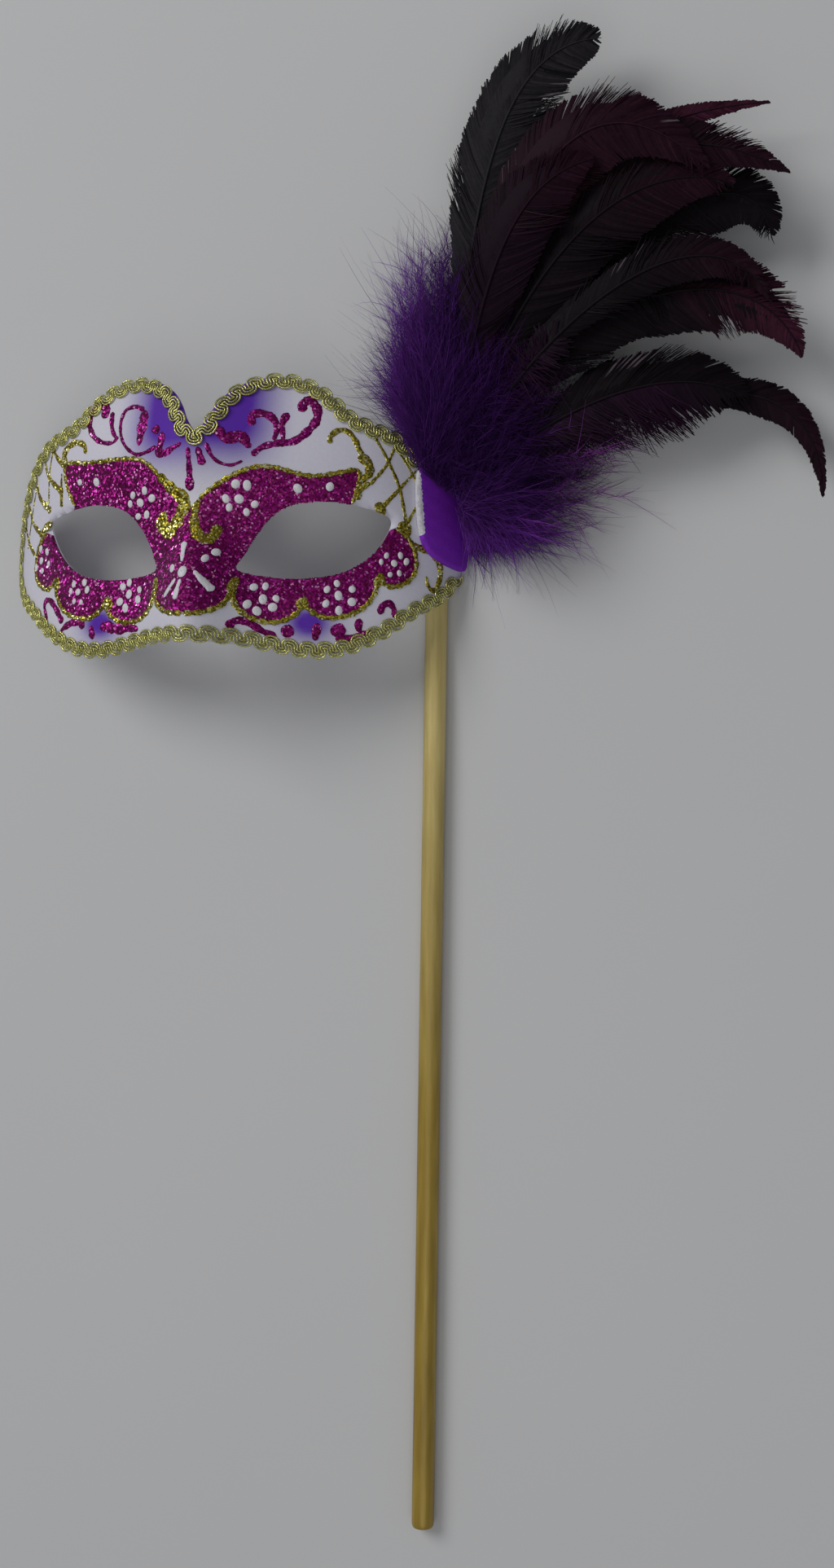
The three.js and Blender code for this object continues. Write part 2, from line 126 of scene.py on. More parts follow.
# Painted strokes of each ink: width at the start and end, swelling in the middle, points as u and v
GOLD_STROKES = [
    (2, 4.2, 1.4, (-15, 29.5), (-9.5, 24), (-5.5, 20.5), (-5.5, 16.5), (-8, 11.5), (-11, 9.5),
     (-13.5, 12), (-12.5, 16.5)),
    (1.8, 3, 1, (0.5, 20.5), (-0.6, 16.5), (0, 11), (2.5, 7), (5, 6.2), (7.2, 8), (7.4, 11.5)),
    (2.2, 1.4, 0.2, (-55.5, 36), (-56.5, 39.5), (-54.5, 42.5), (-50.5, 43.5), (-47, 42), (-46.2, 39)),
    (2.4, 1.2, 0.4, (-62.8, 15.8), (-66.5, 14.3), (-69.8, 11.5)),
    (1.6, 1.5, 0, (44.5, 40.5), (44.5, 43), (47, 45.3), (50, 45), (52.5, 42), (54, 38.5), (56.5, 34.5)),
    (2.6, 1.6, 0.6, (53.5, 36.2), (56.5, 34.8), (57.2, 31), (54.5, 28)),
    (1.2, 2, 0.4, (57.5, 27.5), (54.5, 25.5), (53, 21.5)),
    (2, 1.2, 1.2, (58.8, 20.2), (60.8, 18.8), (62, 16.8)),
    (2.4, 1.8, 0.8, (66, 13.2), (68.6, 13), (69.2, 9.5)),
    (2.2, 0.8, 0.5, (70.5, 6.4), (73, 6), (75.8, 5), (77.8, 2.5), (79, -1.5), (78.4, -6), (77, -8.7),
     (75.4, -7), (74.8, -3.8)),
    (2.4, 1.4, 0.6, (-14.2, -6.8), (-13.6, -10), (-14, -14)),
    (2.4, 1.4, 0.6, (15.2, -6.8), (14, -10), (13.4, -13.5)),
    (1.5, 2.8, 0.5, (-37.3, -16.6), (-35.6, -13.6), (-34, -17.4)),
    (1.5, 2.8, 0.5, (37.6, -16.8), (36.6, -13.8), (35, -17.2)),
    (1.4, 2.4, 0.5, (-61.5, -7.4), (-59.8, -5), (-59.4, -9)),
    (1.4, 2.4, 0.5, (62, -7.6), (60.8, -4.6), (59.6, -9)),
]
NET_STROKES = [
    (0.6, 1.4, 0, (-62.5, 43.5), (-61, 40), (-56.5, 35.5)),
    (0.6, 1.6, 0, (-67, 38.5), (-64, 32), (-57, 26)),
    (0.6, 1.8, 0, (-71.5, 32), (-69.5, 25.5), (-63.5, 20)),
    (0.6, 1.4, 0, (-76.5, 23.5), (-74.5, 17.5), (-69.5, 12.5)),
    (0.6, 1.2, 0, (-79.5, 16), (-77, 10), (-72.5, 4.5)),
    (0.45, 0.45, 0, (-62.5, 43), (-64, 34), (-64.5, 23)),
    (0.45, 1.2, 0, (-57.5, 33), (-57.8, 26), (-58, 21)),
    (0.45, 0.45, 0, (-71, 31.5), (-75, 19), (-78, 8)),
    (0.6, 0.8, 0, (58.5, 43.8), (62.5, 36.5), (66.5, 26.5), (68.5, 15)),
    (0.6, 0.8, 0, (65, 41), (62.5, 34), (57.5, 27)),
    (0.5, 0.6, 0, (64.5, 41.5), (69.2, 34), (71.8, 28), (72.4, 20)),
    (0.5, 1, 0, (71.5, 33), (66.5, 26), (61, 19.2)),
    (0.5, 0.8, 0, (72.4, 22), (69, 14.5)),
]
MAGENTA_STROKES = [
    (2.8, 0.9, 0, (-39.8, 51.5), (-38.5, 55), (-42, 56.6), (-45, 54), (-45.5, 49.5), (-43, 45),
     (-39, 42.5), (-34.5, 42), (-32, 44)),
    (1.8, 1.1, 0, (-35.8, 53.5), (-35.6, 49.5), (-34.6, 46), (-32.5, 43)),
    (1.4, 1.2, -0.3, (-22, 53), (-26, 54.6), (-30, 53.5), (-31.5, 49.5), (-31, 44.5), (-28.5, 40),
     (-24, 37), (-19.5, 37.5), (-15.5, 39.2)),
    (2, 1, 1.6, (-21.8, 53), (-21.8, 49), (-22.4, 45), (-23, 40)),
    (1.8, 2.4, 0.6, (-17.8, 45), (-14.2, 45.2)),
    (2, 0.8, 0.7, (-13, 44), (-13.5, 40), (-14.5, 36.8), (-12, 36.5), (-8.5, 38), (-5, 39.5)),
    (1.3, 3, -0.5, (-2.5, 38), (-2.5, 31), (-3, 23.5)),
    (1.4, 2.6, 0, (1, 38), (2.5, 32)),
    (1.2, 0.7, 0, (4, 39.5), (5.5, 35.5), (8, 33), (12, 32), (16, 33.5)),
    (2, 1.6, 1.4, (7.5, 45), (10, 41.5), (13, 41.5), (15.5, 42), (18.5, 38)),
    (2.2, 1.3, 0.4, (18.7, 46), (18.5, 49.5), (21.5, 50.5), (25, 49), (27, 45.5), (26, 41)),
    (2.6, 1.3, -0.4, (30, 51), (28.6, 47), (29.2, 41)),
    (1.4, 2.6, 0.3, (19, 35.5), (22.5, 38.5), (27.5, 40), (32.5, 40.8), (36.5, 44), (39.5, 48.5),
     (39.5, 52.5), (37, 55.6), (34.5, 54.6), (35, 51.5)),
    (2.2, 1, 0.2, (-56, -21), (-59, -16.5), (-62.5, -12.8), (-65, -12.5), (-65.8, -15), (-64, -19.5)),
    (1, 2.2, 0.6, (-57, -24), (-54, -22.2), (-49, -20.8), (-45.5, -23)),
    (1.8, 2.2, 0, (-42.5, -22.5), (-42, -27.4)),
    (3, 1.8, 0.4, (-38.2, -23.8), (-35.5, -23), (-31.5, -24.2), (-25.5, -23.8), (-21.5, -24.6)),
    (2.2, 1.6, 0, (13.5, -24.6), (14.5, -22.8), (17, -21.8), (20.5, -23.2), (24, -25.4), (28, -26.8)),
    (3, 4, 0.6, (29.5, -25.8), (33.5, -24.2)),
    (2.6, 1.8, 0, (41.5, -22), (40.4, -28)),
    (3, 3.4, 0.8, (45.5, -24.6), (50.5, -24.2)),
    (1.6, 1, 0.3, (47, -27), (51.5, -26.8), (55, -25.4), (58.5, -24)),
    (2.6, 1.2, 0, (55, -20), (54.5, -22.5), (55, -25.4)),
    (2, 1.4, 0.2, (61, -18.2), (62, -15.2), (64, -14.2), (65.5, -16.4), (65.2, -19)),
]
WHITE_STROKES = [
    (2.2, 0.7, 0, (-2.4, 5), (-2, 1), (-1.6, -2.4)),
    (1.6, 1.6, 0.5, (-5.6, -3), (-5.4, -6)),
    (0.8, 1, 0.2, (-3, -8.4), (-8, -14.5)),
    (0.9, 1.8, 0, (-1, -8.6), (-3, -15.5)),
    (1, 2.2, 0, (3, -5.6), (6, -9), (9, -12.2)),
]
# For each ink, its strokes, how much they widen, how thick it lies and how high it starts
PAINT_BASE, WHITE_BASE = 0.12, 0.3
INKS = {"gold": (GOLD_STROKES, 1.25, 0.5, PAINT_BASE), "net": (NET_STROKES, 1.7, 0.28, PAINT_BASE),
        "magenta": (MAGENTA_STROKES, 1.3, 0.38, PAINT_BASE), "white": (WHITE_STROKES, 1.25, 0.3, WHITE_BASE)}
STROKE_STEP, STROKE_SUNK, STROKE_GRAIN = 0.45, 0.1, 0.03
EDGE_STEP, EDGE_THICK, EDGE_BASE = 0.5, 0.5, 0.2

# White rosettes and single dots: place, size and turn
ROSETTES = [(-22.6, 20.2, 1.0, 10), (-68.5, 2.5, 0.9, 40), (-49, -10.2, 0.85, 0), (-26.2, -12, 1.0, 25),
            (14.4, 20.6, 1.1, 50), (23.4, -14.2, 1.05, 15), (47.8, -12.2, 1.05, 35), (65, 0, 0.85, 5)]
ROSETTE_CENTRE, ROSETTE_RING, ROSETTE_DOT, ROSETTE_DOTS = 1.4, 4.5, 1.25, 6
DOTS = [(-48.5, 29, 1.1), (-41, 28.5, 1.4), (34, 24.6, 1.5), (44.5, 25.6, 1.4), (5.5, -1, 1.2),
        (8.2, 1.5, 1.3), (-0.8, -6, 1.7)]
DOT_RINGS, DOT_SIDES, DOT_HEIGHT, DOT_TALL = (1.0, 0.8, 0.45, 0.05), 14, 0.42, 1.12

# Braid: a ribbon of three cords that winds from side to side along the rim
BRAID_STOP_U, BRAID_STOP_TOP, BRAID_STOP_LOW = 70.0, 35.8, -4.4
BRAID_MIDDLE, BRAID_SWING, BRAID_PITCH, BRAID_SLANT, BRAID_STEP = 2.65, 1.65, 6.2, 0.2, 0.15
BRAID_CURL, BRAID_CORNER, BRAID_RIM_STEP, BRAID_THIN = 1.45, 4, 0.5, 4
CORD_RADIUS, CORD_GAP, CORD_SIDES, CORD_LIFT, CORD_WEAVE, CORD_TAPER = 0.38, 0.98, 5, 0.75, 0.14, 0.6
NOTCH_ABOVE = 30

# Plume: the quills meet at the root, as in the solid. A row has the two handles and the tip of the spine,
# the width, how blunt the tip is, where the vane opens, and the inner and outer colour
ROOT = np.array([6.0, 366.0, 17.0])
BLACK, PLUM, WINE = (0.0065, 0.0042, 0.006), (0.017, 0.005, 0.01), (0.04, 0.009, 0.02)
SLATE, PAINTED_GLINT, DUSK = (0.0165, 0.0145, 0.017), (0.095, 0.078, 0.09), (0.0095, 0.0035, 0.0085)
COQUE = [
    ((13, 440, 24), (16, 523, 30), (60, 522, 28), 26, 0.95, 0.34, SLATE, SLATE),
    ((20, 442, 30), (43, 526, 42), (98, 473, 36), 28, 0.4, 0.34, PLUM, PLUM),
    ((12, 455, 24), (55, 498, 28), (117, 497, 27), 12, 0.1, 0.36, PLUM, WINE),
    ((20, 460, 26), (70, 505, 36), (124, 472, 31), 22, 0.2, 0.36, BLACK, PLUM),
    ((30, 440, 22), (110, 495, 30), (118, 453, 23), 24, 0.7, 0.36, BLACK, BLACK),
    ((30, 418, 34), (98, 470, 46), (119, 428, 36), 15, 0.3, 0.38, BLACK, PLUM),
    ((40, 436, 28), (113, 454, 37), (129, 411, 28), 26, 0.3, 0.36, BLACK, WINE),
    ((35, 390, 25), (80, 416, 30), (111, 399, 22), 24, 0.8, 0.36, BLACK, BLACK),
    ((50, 392, 20), (134, 431, 21), (136, 366, 15), 12, 0.3, 0.5, BLACK, PLUM),
    ((18, 430, 33), (28, 472, 42), (60, 478, 38), 24, 0.5, 0.3, DUSK, PLUM),
    ((24, 430, 30), (62, 484, 36), (106, 469, 32), 26, 0.5, 0.3, BLACK, PLUM),
    ((34, 415, 27), (70, 445, 34), (92, 428, 30), 26, 0.5, 0.3, BLACK, BLACK),
]
# Painted highlights, pale barbs where the light catches: feather, side, and the stretch of its spine; their
# share and lit end
GLINTS = [(1, -1, 0.52, 0.57), (1, -1, 0.71, 0.75), (1, -1, 0.9, 0.92), (0, 1, 0.8, 0.86),
          (7, -1, 0.62, 0.72), (5, -1, 0.55, 0.62)]
GLINT_SHARE, GLINT_FROM = 0.3, 6
# Feathers whose outer half is smooth, and the one with loose barbs along its lower side
SLEEK, FRINGED = (2, 8), 7
# Vane: camber, width at the bare quill, where it opens, how sharp and blunt tips close, and its thin sheet
CAMBER, BARE_WIDTH, OPEN_BEFORE, OPEN_AFTER = 0.24, 2.4, 0.12, 0.22
TIP_POWER, TIP_GAIN = (0.9, 0.35), (3.2, 1.6)
VANE_SHARES = np.array([-0.62, -0.3, 0, 0.3, 0.62])
SHEET_SHORT, SHEET_DROP = 0.03, 0.15
# Quill: its tube, and how much paler than the vane it is tinted, as painted light against the shade along it
QUILL_START, QUILL_STEPS, QUILL_SIDES, QUILL_RADIUS, QUILL_TIP, QUILL_TAPER = 0.05, 48, 5, 0.7, 0.12, 0.8
QUILL_RISE, QUILL_PAINTED_LIGHT_GAIN, QUILL_PAINTED_LIGHT = 0.25, 1.45, 0.002
# Barbs: they lean to the tip, gather in clumps and arch, and are uneven in reach, place and shade
BARB_FROM, BARB_SPACING, BARB_STEPS, BARB_WIDTH, BARB_TIP = 0.06, 0.22, 4, 1.15, 0.35
BARB_LEAN, BARB_LEAN_FALL, BARB_ARCH, BARB_RISE, CLUMP_LENGTH, CLUMP_PULL = 52, 20, 0.22, 0.08, 6, 0.12
BARB_UNEVEN, BARB_LOOSE, SHADE_UNEVEN, SHADE_LEAST, OUTER_FROM = 0.03, 0.15, 0.25, 0.002, (0.6, 1.0)
# Downy barbs where the vane isn't open yet and on the fringed side, and frayed stretches further out
DOWNY_BEFORE, DOWNY_AFTER, DOWNY_REACH, DOWNY_LOOSE, DOWNY_THIN = 0.14, 0.06, (2, 12), 3.5, 0.9
FRINGE_DOWNY, FRINGE_END = 0.55, (0.8, 0.97)
FRAY_WAVE, FRAY_FROM, FRAY_LOOSE, FRAY_THIN = (0.5, 0.95), (0.3, 0.5), 1.2, 0.65
DOWNY_TINT, FEATHER_FLOOR = np.array([0.022, 0.0052, 0.022]), 0.4

# Down: locks as angles round the root and reaches; layers as names, heights of middle and end, and reach
LOCKS = [(-75, 26), (-52, 30), (-32, 48), (-15, 60), (1, 75), (16, 86), (32, 78), (49, 72), (66, 84),
         (81, 100), (95, 108), (107, 96), (119, 76), (132, 54)]
LAYERS = [("marabou_floor", 6.0, 5.0, 0.98), ("marabou_middle", 20.0, 14.0, 0.96),
          ("marabou_front", 34.0, 24.0, 0.88)]
PLUMES, STRANDS, DOWN_TOP = 260, 62, 54.0
# Plumes: angles past the outer locks, the extra share on the upper side, and cuts to the right and left
LOCK_MARGIN, UPPER_SHARE, UPPER_ANGLES = 6, 0.4, (84, 116)
RIGHT_CUT, RIGHT_ANGLES = 13, (30, 75)
SHORTEST, LEFT_CUT, LEFT_ANGLES, FAR_LEFT_CUT, FAR_LEFT_ANGLES = 0.42, 0.05, (65, 98), 0.36, (99, 116)
PLUME_SCATTER = 2
# Strands: length, width, tip, curl and sag, and the long wisps on the outer plumes
STRAND_LENGTH, STRAND_WIDTH, STRAND_STEPS, STRAND_TIP = (6, 17), (0.11, 0.25), 5, 0.2
STRAND_CURL, STRAND_SAG, STRAND_FLOOR = 0.22, -0.12, 0.3
STRAND_FROM, STRAND_AHEAD, STRAND_ASIDE, STRAND_FLAT = 0.05, (0.6, 1.2), 0.6, np.array([1, 1, 0.8])
LENGTH_AT_ROOT, LENGTH_FALL, LENGTH_LEFT = 1.1, 0.4, 0.25
WISP_SHARE, WISP_GROWTH, WISP_ABOVE, WISP_BELOW = 0.2, 1.9, 80, 5
# Brightness of the down: random, and painted light more to the left and low down (along -X and -Y) and on
# the fringe apart from its upper side, which lies in the feathers' shade; the colour passes to plum along X
DOWN_DARK, DOWN_BRIGHT = np.array([0.014, 0.0042, 0.028]), np.array([0.122, 0.026, 0.245])
DOWN_PLUM, PLUM_X = np.array([0.15, 0.03, 0.19]), (25, 60)
BRIGHT_RANDOM, PAINTED_LIGHT_SIDE, PAINTED_LIGHT_FRINGE, BRIGHT_MOST = (0.02, 0.32), 0.65, 1.4, 2.0
PAINTED_LIGHT_LEFT, PAINTED_LIGHT_LOW, FRINGE_REACH = (-20, 12), (-376, -352), (0.58, 0.92)
SHADED_UPPER_FROM, SHADED_UPPER_UNTIL = (15, 45), (92, 108)
# No strand lies over the pad and temple: left of X, above Z and below two slanting lines;
# right of the pad's edge the height that is kept free rises
CLEAR_X, CLEAR_Z, CLEAR_TOP = 13.3, 5.0, 394.0
CLEAR_EDGE, CLEAR_RISE, CLEAR_SLACK = 9.0, 4.0, 5.0
CLEAR_PAD, CLEAR_TEMPLE = (374.1, -0.775), (371.8, -2.06)
# Heart of the down: middle, radii, the dark core's share of them, its mesh and its painted shade, and the
# strands on it
HEART, HEART_RADII = np.array([16.0, 395.0, 19.0]), np.array([20.0, 27.0, 17.5])
CORE_SHARE, CORE_ROWS, CORE_COLUMNS, CORE_POLE, CORE_SHADE = 0.72, 22, 36, 0.02, 0.6
HEART_STRANDS, HEART_SHARE, HEART_LENGTH, HEART_LEAN = 6000, 0.7, (8, 18), np.array([0.1, 0.35, 0])
HEART_OUT, HEART_SPREAD, HEART_BRIGHT, HEART_CURL = 0.8, 0.45, (0.1, 0.6), 0.3
# Strands round the upper end of the stick and beside the pad: two corners of a box and their count
TUFTS = [((-7, 369.5, 0.5), (12, 384, 8), 2500), ((8.5, 350, 0.5), (14, 368, 5), 900)]
TUFT_LENGTH, TUFT_LEAN, TUFT_SPREAD = (6, 13), np.array([0, 0.3, 0]), np.array([0.5, 0.5, 0.1])
TUFT_BRIGHT, TUFT_CURL = (0.1, 0.5), 0.25

# Floor, lights and sky in metres and watts: a light has its name, place, target, size and power
FLOOR_HALF = 4
LIGHTS = [("key", (-1.0, 0.85, 1.45), (0, 0.05, 0), 1.15, 15.3),
          ("fill", (0.3, -0.7, 1.8), (0, 0, 0), 1.6, 6.2)]
SKY_COLOUR, SKY_STRENGTH = (0.9, 0.93, 1.0, 1), 0.2
# The photo looks from the right by a small yaw, with the stick leaning slightly; its focal length and
# height are in pixels
YAW, ROLL = math.radians(13), math.radians(0.86)
EYE_POINT = (np.array([158.6, 266.8, 717.8]) + OFFSET) * MM
FOCAL, FRAME_HEIGHT, SENSOR_HEIGHT = 2500, 1925, 24


def smoothstep(x, low, high):
    t = np.clip((x - low) / (high - low), 0, 1)
    return t * t * (3 - 2 * t)


def unit(vectors):
    return vectors / np.maximum(np.linalg.norm(vectors, axis=-1, keepdims=True), 1e-9)


def right_of(along):
    return np.stack([along[:, 1], -along[:, 0]], 1)


def step_lengths(line):
    return np.linalg.norm(np.diff(line, axis=0), axis=1)


def full_turn(count):
    return np.linspace(0, 2 * math.pi, count, endpoint=False)


def sweep(u):
    return SWEEP_B * np.sqrt(np.maximum(1 - (u / SWEEP_A) ** 2, 1e-4)) - SWEEP_DROP


ARC_U = np.linspace(0, SWEEP_END, 601)
ARC_P = np.concatenate([[0], np.cumsum(np.hypot(np.diff(ARC_U), np.diff(sweep(ARC_U))))])


def arc_at(u):
    return np.sign(u) * np.interp(np.abs(u), ARC_U, ARC_P)


def across_at(p):
    return np.sign(p) * np.interp(np.abs(p), ARC_P, ARC_U)


def face_height(u, v):
    side = np.abs(u)
    brow = BROW_FALL * (np.maximum(v - BROW_START, 0) / BROW_SPAN) ** 2
    cheek = CHEEK_FALL * (np.maximum(CHEEK_START - v, 0) / CHEEK_SPAN) ** 2
    socket = SOCKET_DEPTH * np.exp(-((side - SOCKET_U) / SOCKET_RU) ** 2 - ((v - SOCKET_V) / SOCKET_RV) ** 2)
    rise = NOSE_HEIGHT * (1 - smoothstep(v, NOSE_FULL, NOSE_ROOT))
    widening = 1 - smoothstep(v, NOSE_WIDE_TO, NOSE_WIDE_FROM)
    half = NOSE_HALF_TOP + (NOSE_HALF_BOTTOM - NOSE_HALF_TOP) * widening
    ridge = RIDGE_HEIGHT * smoothstep(v, RIDGE_LOW, RIDGE_HIGH) * np.exp(-(side / RIDGE_HALF) ** 2)
    return sweep(u) - brow - cheek - socket + rise * np.exp(-(side / half) ** 2) + ridge


def on_face(flat, lift):
    """Points of a flat pattern, p along the sweep and v up, laid on the face and lifted off it."""
    u, v = across_at(flat[:, 0]), flat[:, 1]
    d = 0.05
    slope_u = (face_height(u + d, v) - face_height(u - d, v)) / (2 * d)
    slope_v = (face_height(u, v + d) - face_height(u, v - d)) / (2 * d)
    normal = unit(np.stack([-slope_u, -slope_v, np.ones_like(u)], 1))
    return np.stack([u, v, face_height(u, v)], 1) + normal * np.reshape(lift, (-1, 1)) + MASK


def flat_of(rows):
    rows = np.asarray(rows, float)
    return np.stack([arc_at(rows[:, 0]), rows[:, 1]], 1)


def smooth_line(points, spacing, closed=False):
    """Points at an even spacing on a spline through the given ones."""
    if closed:
        padded = np.concatenate([points[-1:], points, points[:2]])
    else:
        padded = np.concatenate([2 * points[:1] - points[1:2], points, 2 * points[-1:] - points[-2:-1]])
    pieces = []
    steps = np.linspace(0, 1, SPLINE_STEPS, endpoint=False)[:, None]
    for a, b, c, d in zip(padded, padded[1:], padded[2:], padded[3:]):
        pieces.append(0.5 * (2 * b + (c - a) * steps + (2 * a - 5 * b + 4 * c - d) * steps ** 2
                             + (3 * b - a - 3 * c + d) * steps ** 3))
    line = np.concatenate(pieces + [points[:1] if closed else points[-1:]])
    far = np.concatenate([[0], np.cumsum(step_lengths(line))])
    count = max(int(round(far[-1] / spacing)), 3)
    places = np.linspace(0, far[-1], count + 1)
    even = np.stack([np.interp(places, far, line[:, k]) for k in range(2)], 1)
    return even[:-1] if closed else even


def mirrored(points):
    return (points * [-1, 1])[::-1]


def rim_loop(spacing):
    right = smooth_line(flat_of(RIM), spacing)
    return np.concatenate([right, mirrored(right)[1:-1]])


def inset(loop, distance, window=1):
    along = unit(np.roll(loop, -window, 0) - np.roll(loop, window, 0))
    return loop + right_of(along) * distance


def inside(points, loop):
    x, y = points[:, 0], points[:, 1]
    found = np.zeros(len(points), bool)
    for (x0, y0), (x1, y1) in zip(loop, np.roll(loop, -1, 0)):
        if y0 != y1:
            found ^= ((y0 > y) != (y1 > y)) & (x < (x1 - x0) * (y - y0) / (y1 - y0) + x0)
    return found


def between_loops(points, outline, holes):
    found = inside(points, outline)
    for hole in holes:
        found &= ~inside(points, hole)
    return found


def nearest(points, loops):
    edge = np.concatenate(loops)
    return np.min([np.hypot(points[:, 0] - a, points[:, 1] - b) for a, b in edge], axis=0)


def flat_mesh(outline, holes, spacing):
    """Even triangles that fill a flat outline with holes."""
    loops = [outline, *holes]
    low, high = outline.min(0), outline.max(0)
    xs = np.arange(low[0], high[0], spacing)
    ys = np.arange(low[1], high[1], spacing * TRIANGLE_HEIGHT)
    grid = np.array([(x + (j % 2) * spacing / 2, y) for j, y in enumerate(ys) for x in xs])
    grid = grid[between_loops(grid, outline, holes)]
    grid = grid[nearest(grid, loops) > spacing * EDGE_FREE]
    edges = []
    start = 0
    for loop in loops:
        n = len(loop)
        edges += [(start + i, start + (i + 1) % n) for i in range(n)]
        start += n
    corners = [Vector(p) for p in np.concatenate(loops + [grid])]
    found = delaunay_2d_cdt(corners, edges, [], 0, 1e-6)
    points = np.array([tuple(p) for p in found[0]])
    faces = np.array([f for f in found[2] if len(f) == 3])
    faces = faces[between_loops(points[faces].mean(1), outline, holes)]
    a, b, c = points[faces[:, 0]], points[faces[:, 1]], points[faces[:, 2]]
    turn = (b - a)[:, 0] * (c - a)[:, 1] - (b - a)[:, 1] * (c - a)[:, 0]
    faces[turn < 0] = faces[turn < 0][:, ::-1]
    used, index = np.unique(faces, return_inverse=True)
    return points[used], index.reshape(faces.shape)


def walls(i, j, n):
    """Triangles between the edges i to j of two layers of n points."""
    return np.concatenate([np.stack([i, j, j + n], 1), np.stack([i, j + n, i + n], 1)])


def panel(outline, holes, low, high, spacing, crown, edge):
    """A closed sheet on the face between two lifts, with rounded front edges, and its flat pattern."""
    flat, faces = flat_mesh(outline, holes, spacing)
    near = np.clip(nearest(flat, [outline, *holes]) / crown, 0, 1)
    round_edge = np.sqrt(1 - (1 - near) ** 2)
    front = on_face(flat, low + (high - low) * (edge + (1 - edge) * round_edge))
    back = on_face(flat, low)
    n = len(flat)
    pairs = np.concatenate([faces[:, [0, 1]], faces[:, [1, 2]], faces[:, [2, 0]]])
    known = {tuple(p) for p in pairs}
    border = np.array([p for p in pairs if (p[1], p[0]) not in known])
    every = np.concatenate([faces, faces[:, ::-1] + n, walls(border[:, 1], border[:, 0], n)])
    return np.concatenate([front, back]), every, np.concatenate([flat, flat])


def add_object(name, data):
    made = bpy.data.objects.new(name, data)
    scene.collection.objects.link(made)
    return made


def new_piece(name, points, faces, materials, slot, tint=None):
    mesh = bpy.data.meshes.new(name)
    places = (points + OFFSET) * MM
    mesh.from_pydata(places.tolist(), [], faces.tolist())
    mesh.shade_smooth()
    if tint is not None:
        layer = mesh.attributes.new("tint", "FLOAT_COLOR", "POINT")
        rgba = np.insert(tint, 3, 1, axis=1)
        layer.data.foreach_set("color", rgba.astype(np.float32).ravel())
    for material in materials:
        mesh.materials.append(material)
    piece = add_object(name, mesh)
    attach(piece, "root")
    return piece


def joined(parts):
    """One mesh of several: points, faces and any tints."""
    points, faces, *tints = zip(*parts)
    starts = np.cumsum([0] + [len(p) for p in points[:-1]])
    faces = [f + start for f, start in zip(faces, starts)]
    return [np.concatenate(rows) for rows in (points, faces, *tints)]


def grid_faces(rows, columns, wrap):
    i, j = np.meshgrid(np.arange(rows - 1), np.arange(columns if wrap else columns - 1), indexing="ij")
    k = (j + 1) % columns
    a, b, c, d = i * columns + j, i * columns + k, (i + 1) * columns + k, (i + 1) * columns + j
    return np.stack([a, b, c, d], -1).reshape(-1, 4)


def stroke(line, width, height, base):
    """A domed stroke of paint along a flat line."""
    side = right_of(unit(np.gradient(line, axis=0)))
    cut = np.array([-1, -0.8, -0.4, 0, 0.4, 0.8, 1])
    dome = np.sqrt(1 - cut ** 2)
    scale = np.clip(width / 1.2, 0.4, 1)
    flat = line[:, None] + side[:, None] * (cut[:, None] * width[:, None, None] / 2)
    lift = base - STROKE_SUNK + height * scale[:, None] * dome
    lift = lift + rng.normal(0, STROKE_GRAIN, lift.shape) * dome
    return on_face(flat.reshape(-1, 2), lift.ravel()), grid_faces(len(line), len(cut), False)


def painted(ink):
    """All strokes of one ink, with round ends and uneven widths."""
    rows, brush, thick, base = INKS[ink]
    made = []
    for start, end, swell, *points in rows:
        line = smooth_line(flat_of(points), STROKE_STEP)
        t = np.linspace(0, 1, len(line))
        width = (start + (end - start) * t + swell * np.sin(math.pi * t)) * brush
        length = step_lengths(line).sum()
        tip = np.minimum(t, 1 - t) * length / np.maximum(width * 0.5, 0.2)
        width = width * np.sqrt(1 - (1 - np.clip(tip, 0.02, 1)) ** 2)
        width = width * (1 + 0.12 * np.sin(t * length * 1.3 + start * 9) + rng.normal(0, 0.06, len(line)))
        made.append(stroke(line, np.maximum(width, 0.1), thick, base))
    return made


def edge_line(rows, width):
    line = smooth_line(flat_of(rows), EDGE_STEP)
    t = np.arange(len(line)) * EDGE_STEP
    wide = width * (1 + 0.22 * np.sin(t * 1.7) + 0.12 * np.sin(t * 4.1 + 1))
    wide[:2] *= 0.5
    wide[-2:] *= 0.5
    return stroke(line, wide, EDGE_THICK, EDGE_BASE)


def dot(u, v, radius):
    """A domed drop of white paint, slightly uneven."""
    turn = full_turn(DOT_SIDES)
    wobble = 1 + 0.08 * np.sin(2 * turn + u)
    centre = flat_of([(u, v)])[0]
    circle = np.stack([np.cos(turn), np.sin(turn) * DOT_TALL], 1) * radius
    flat, lift = [], []
    for share in DOT_RINGS:
        dome = DOT_HEIGHT * math.sqrt(1 - share * share * 0.98)
        flat.append(centre + circle * share * wobble[:, None])
        lift.append(np.full(DOT_SIDES, WHITE_BASE - STROKE_SUNK + dome))
    return on_face(np.concatenate(flat), np.concatenate(lift)), grid_faces(len(DOT_RINGS), DOT_SIDES, True)


def tube(points, radius, sides, guide):
    """A tube along points; guide is a direction that isn't along it, or one for each point."""
    along = unit(np.gradient(points, axis=0))
    side = unit(np.cross(along, guide))
    out = np.cross(side, along)
    turn = full_turn(sides)
    ring = side[:, None] * np.cos(turn)[:, None] + out[:, None] * np.sin(turn)[:, None]
    places = (points[:, None] + ring * radius[:, None, None]).reshape(-1, 3)
    return places, grid_faces(len(points), sides, True)


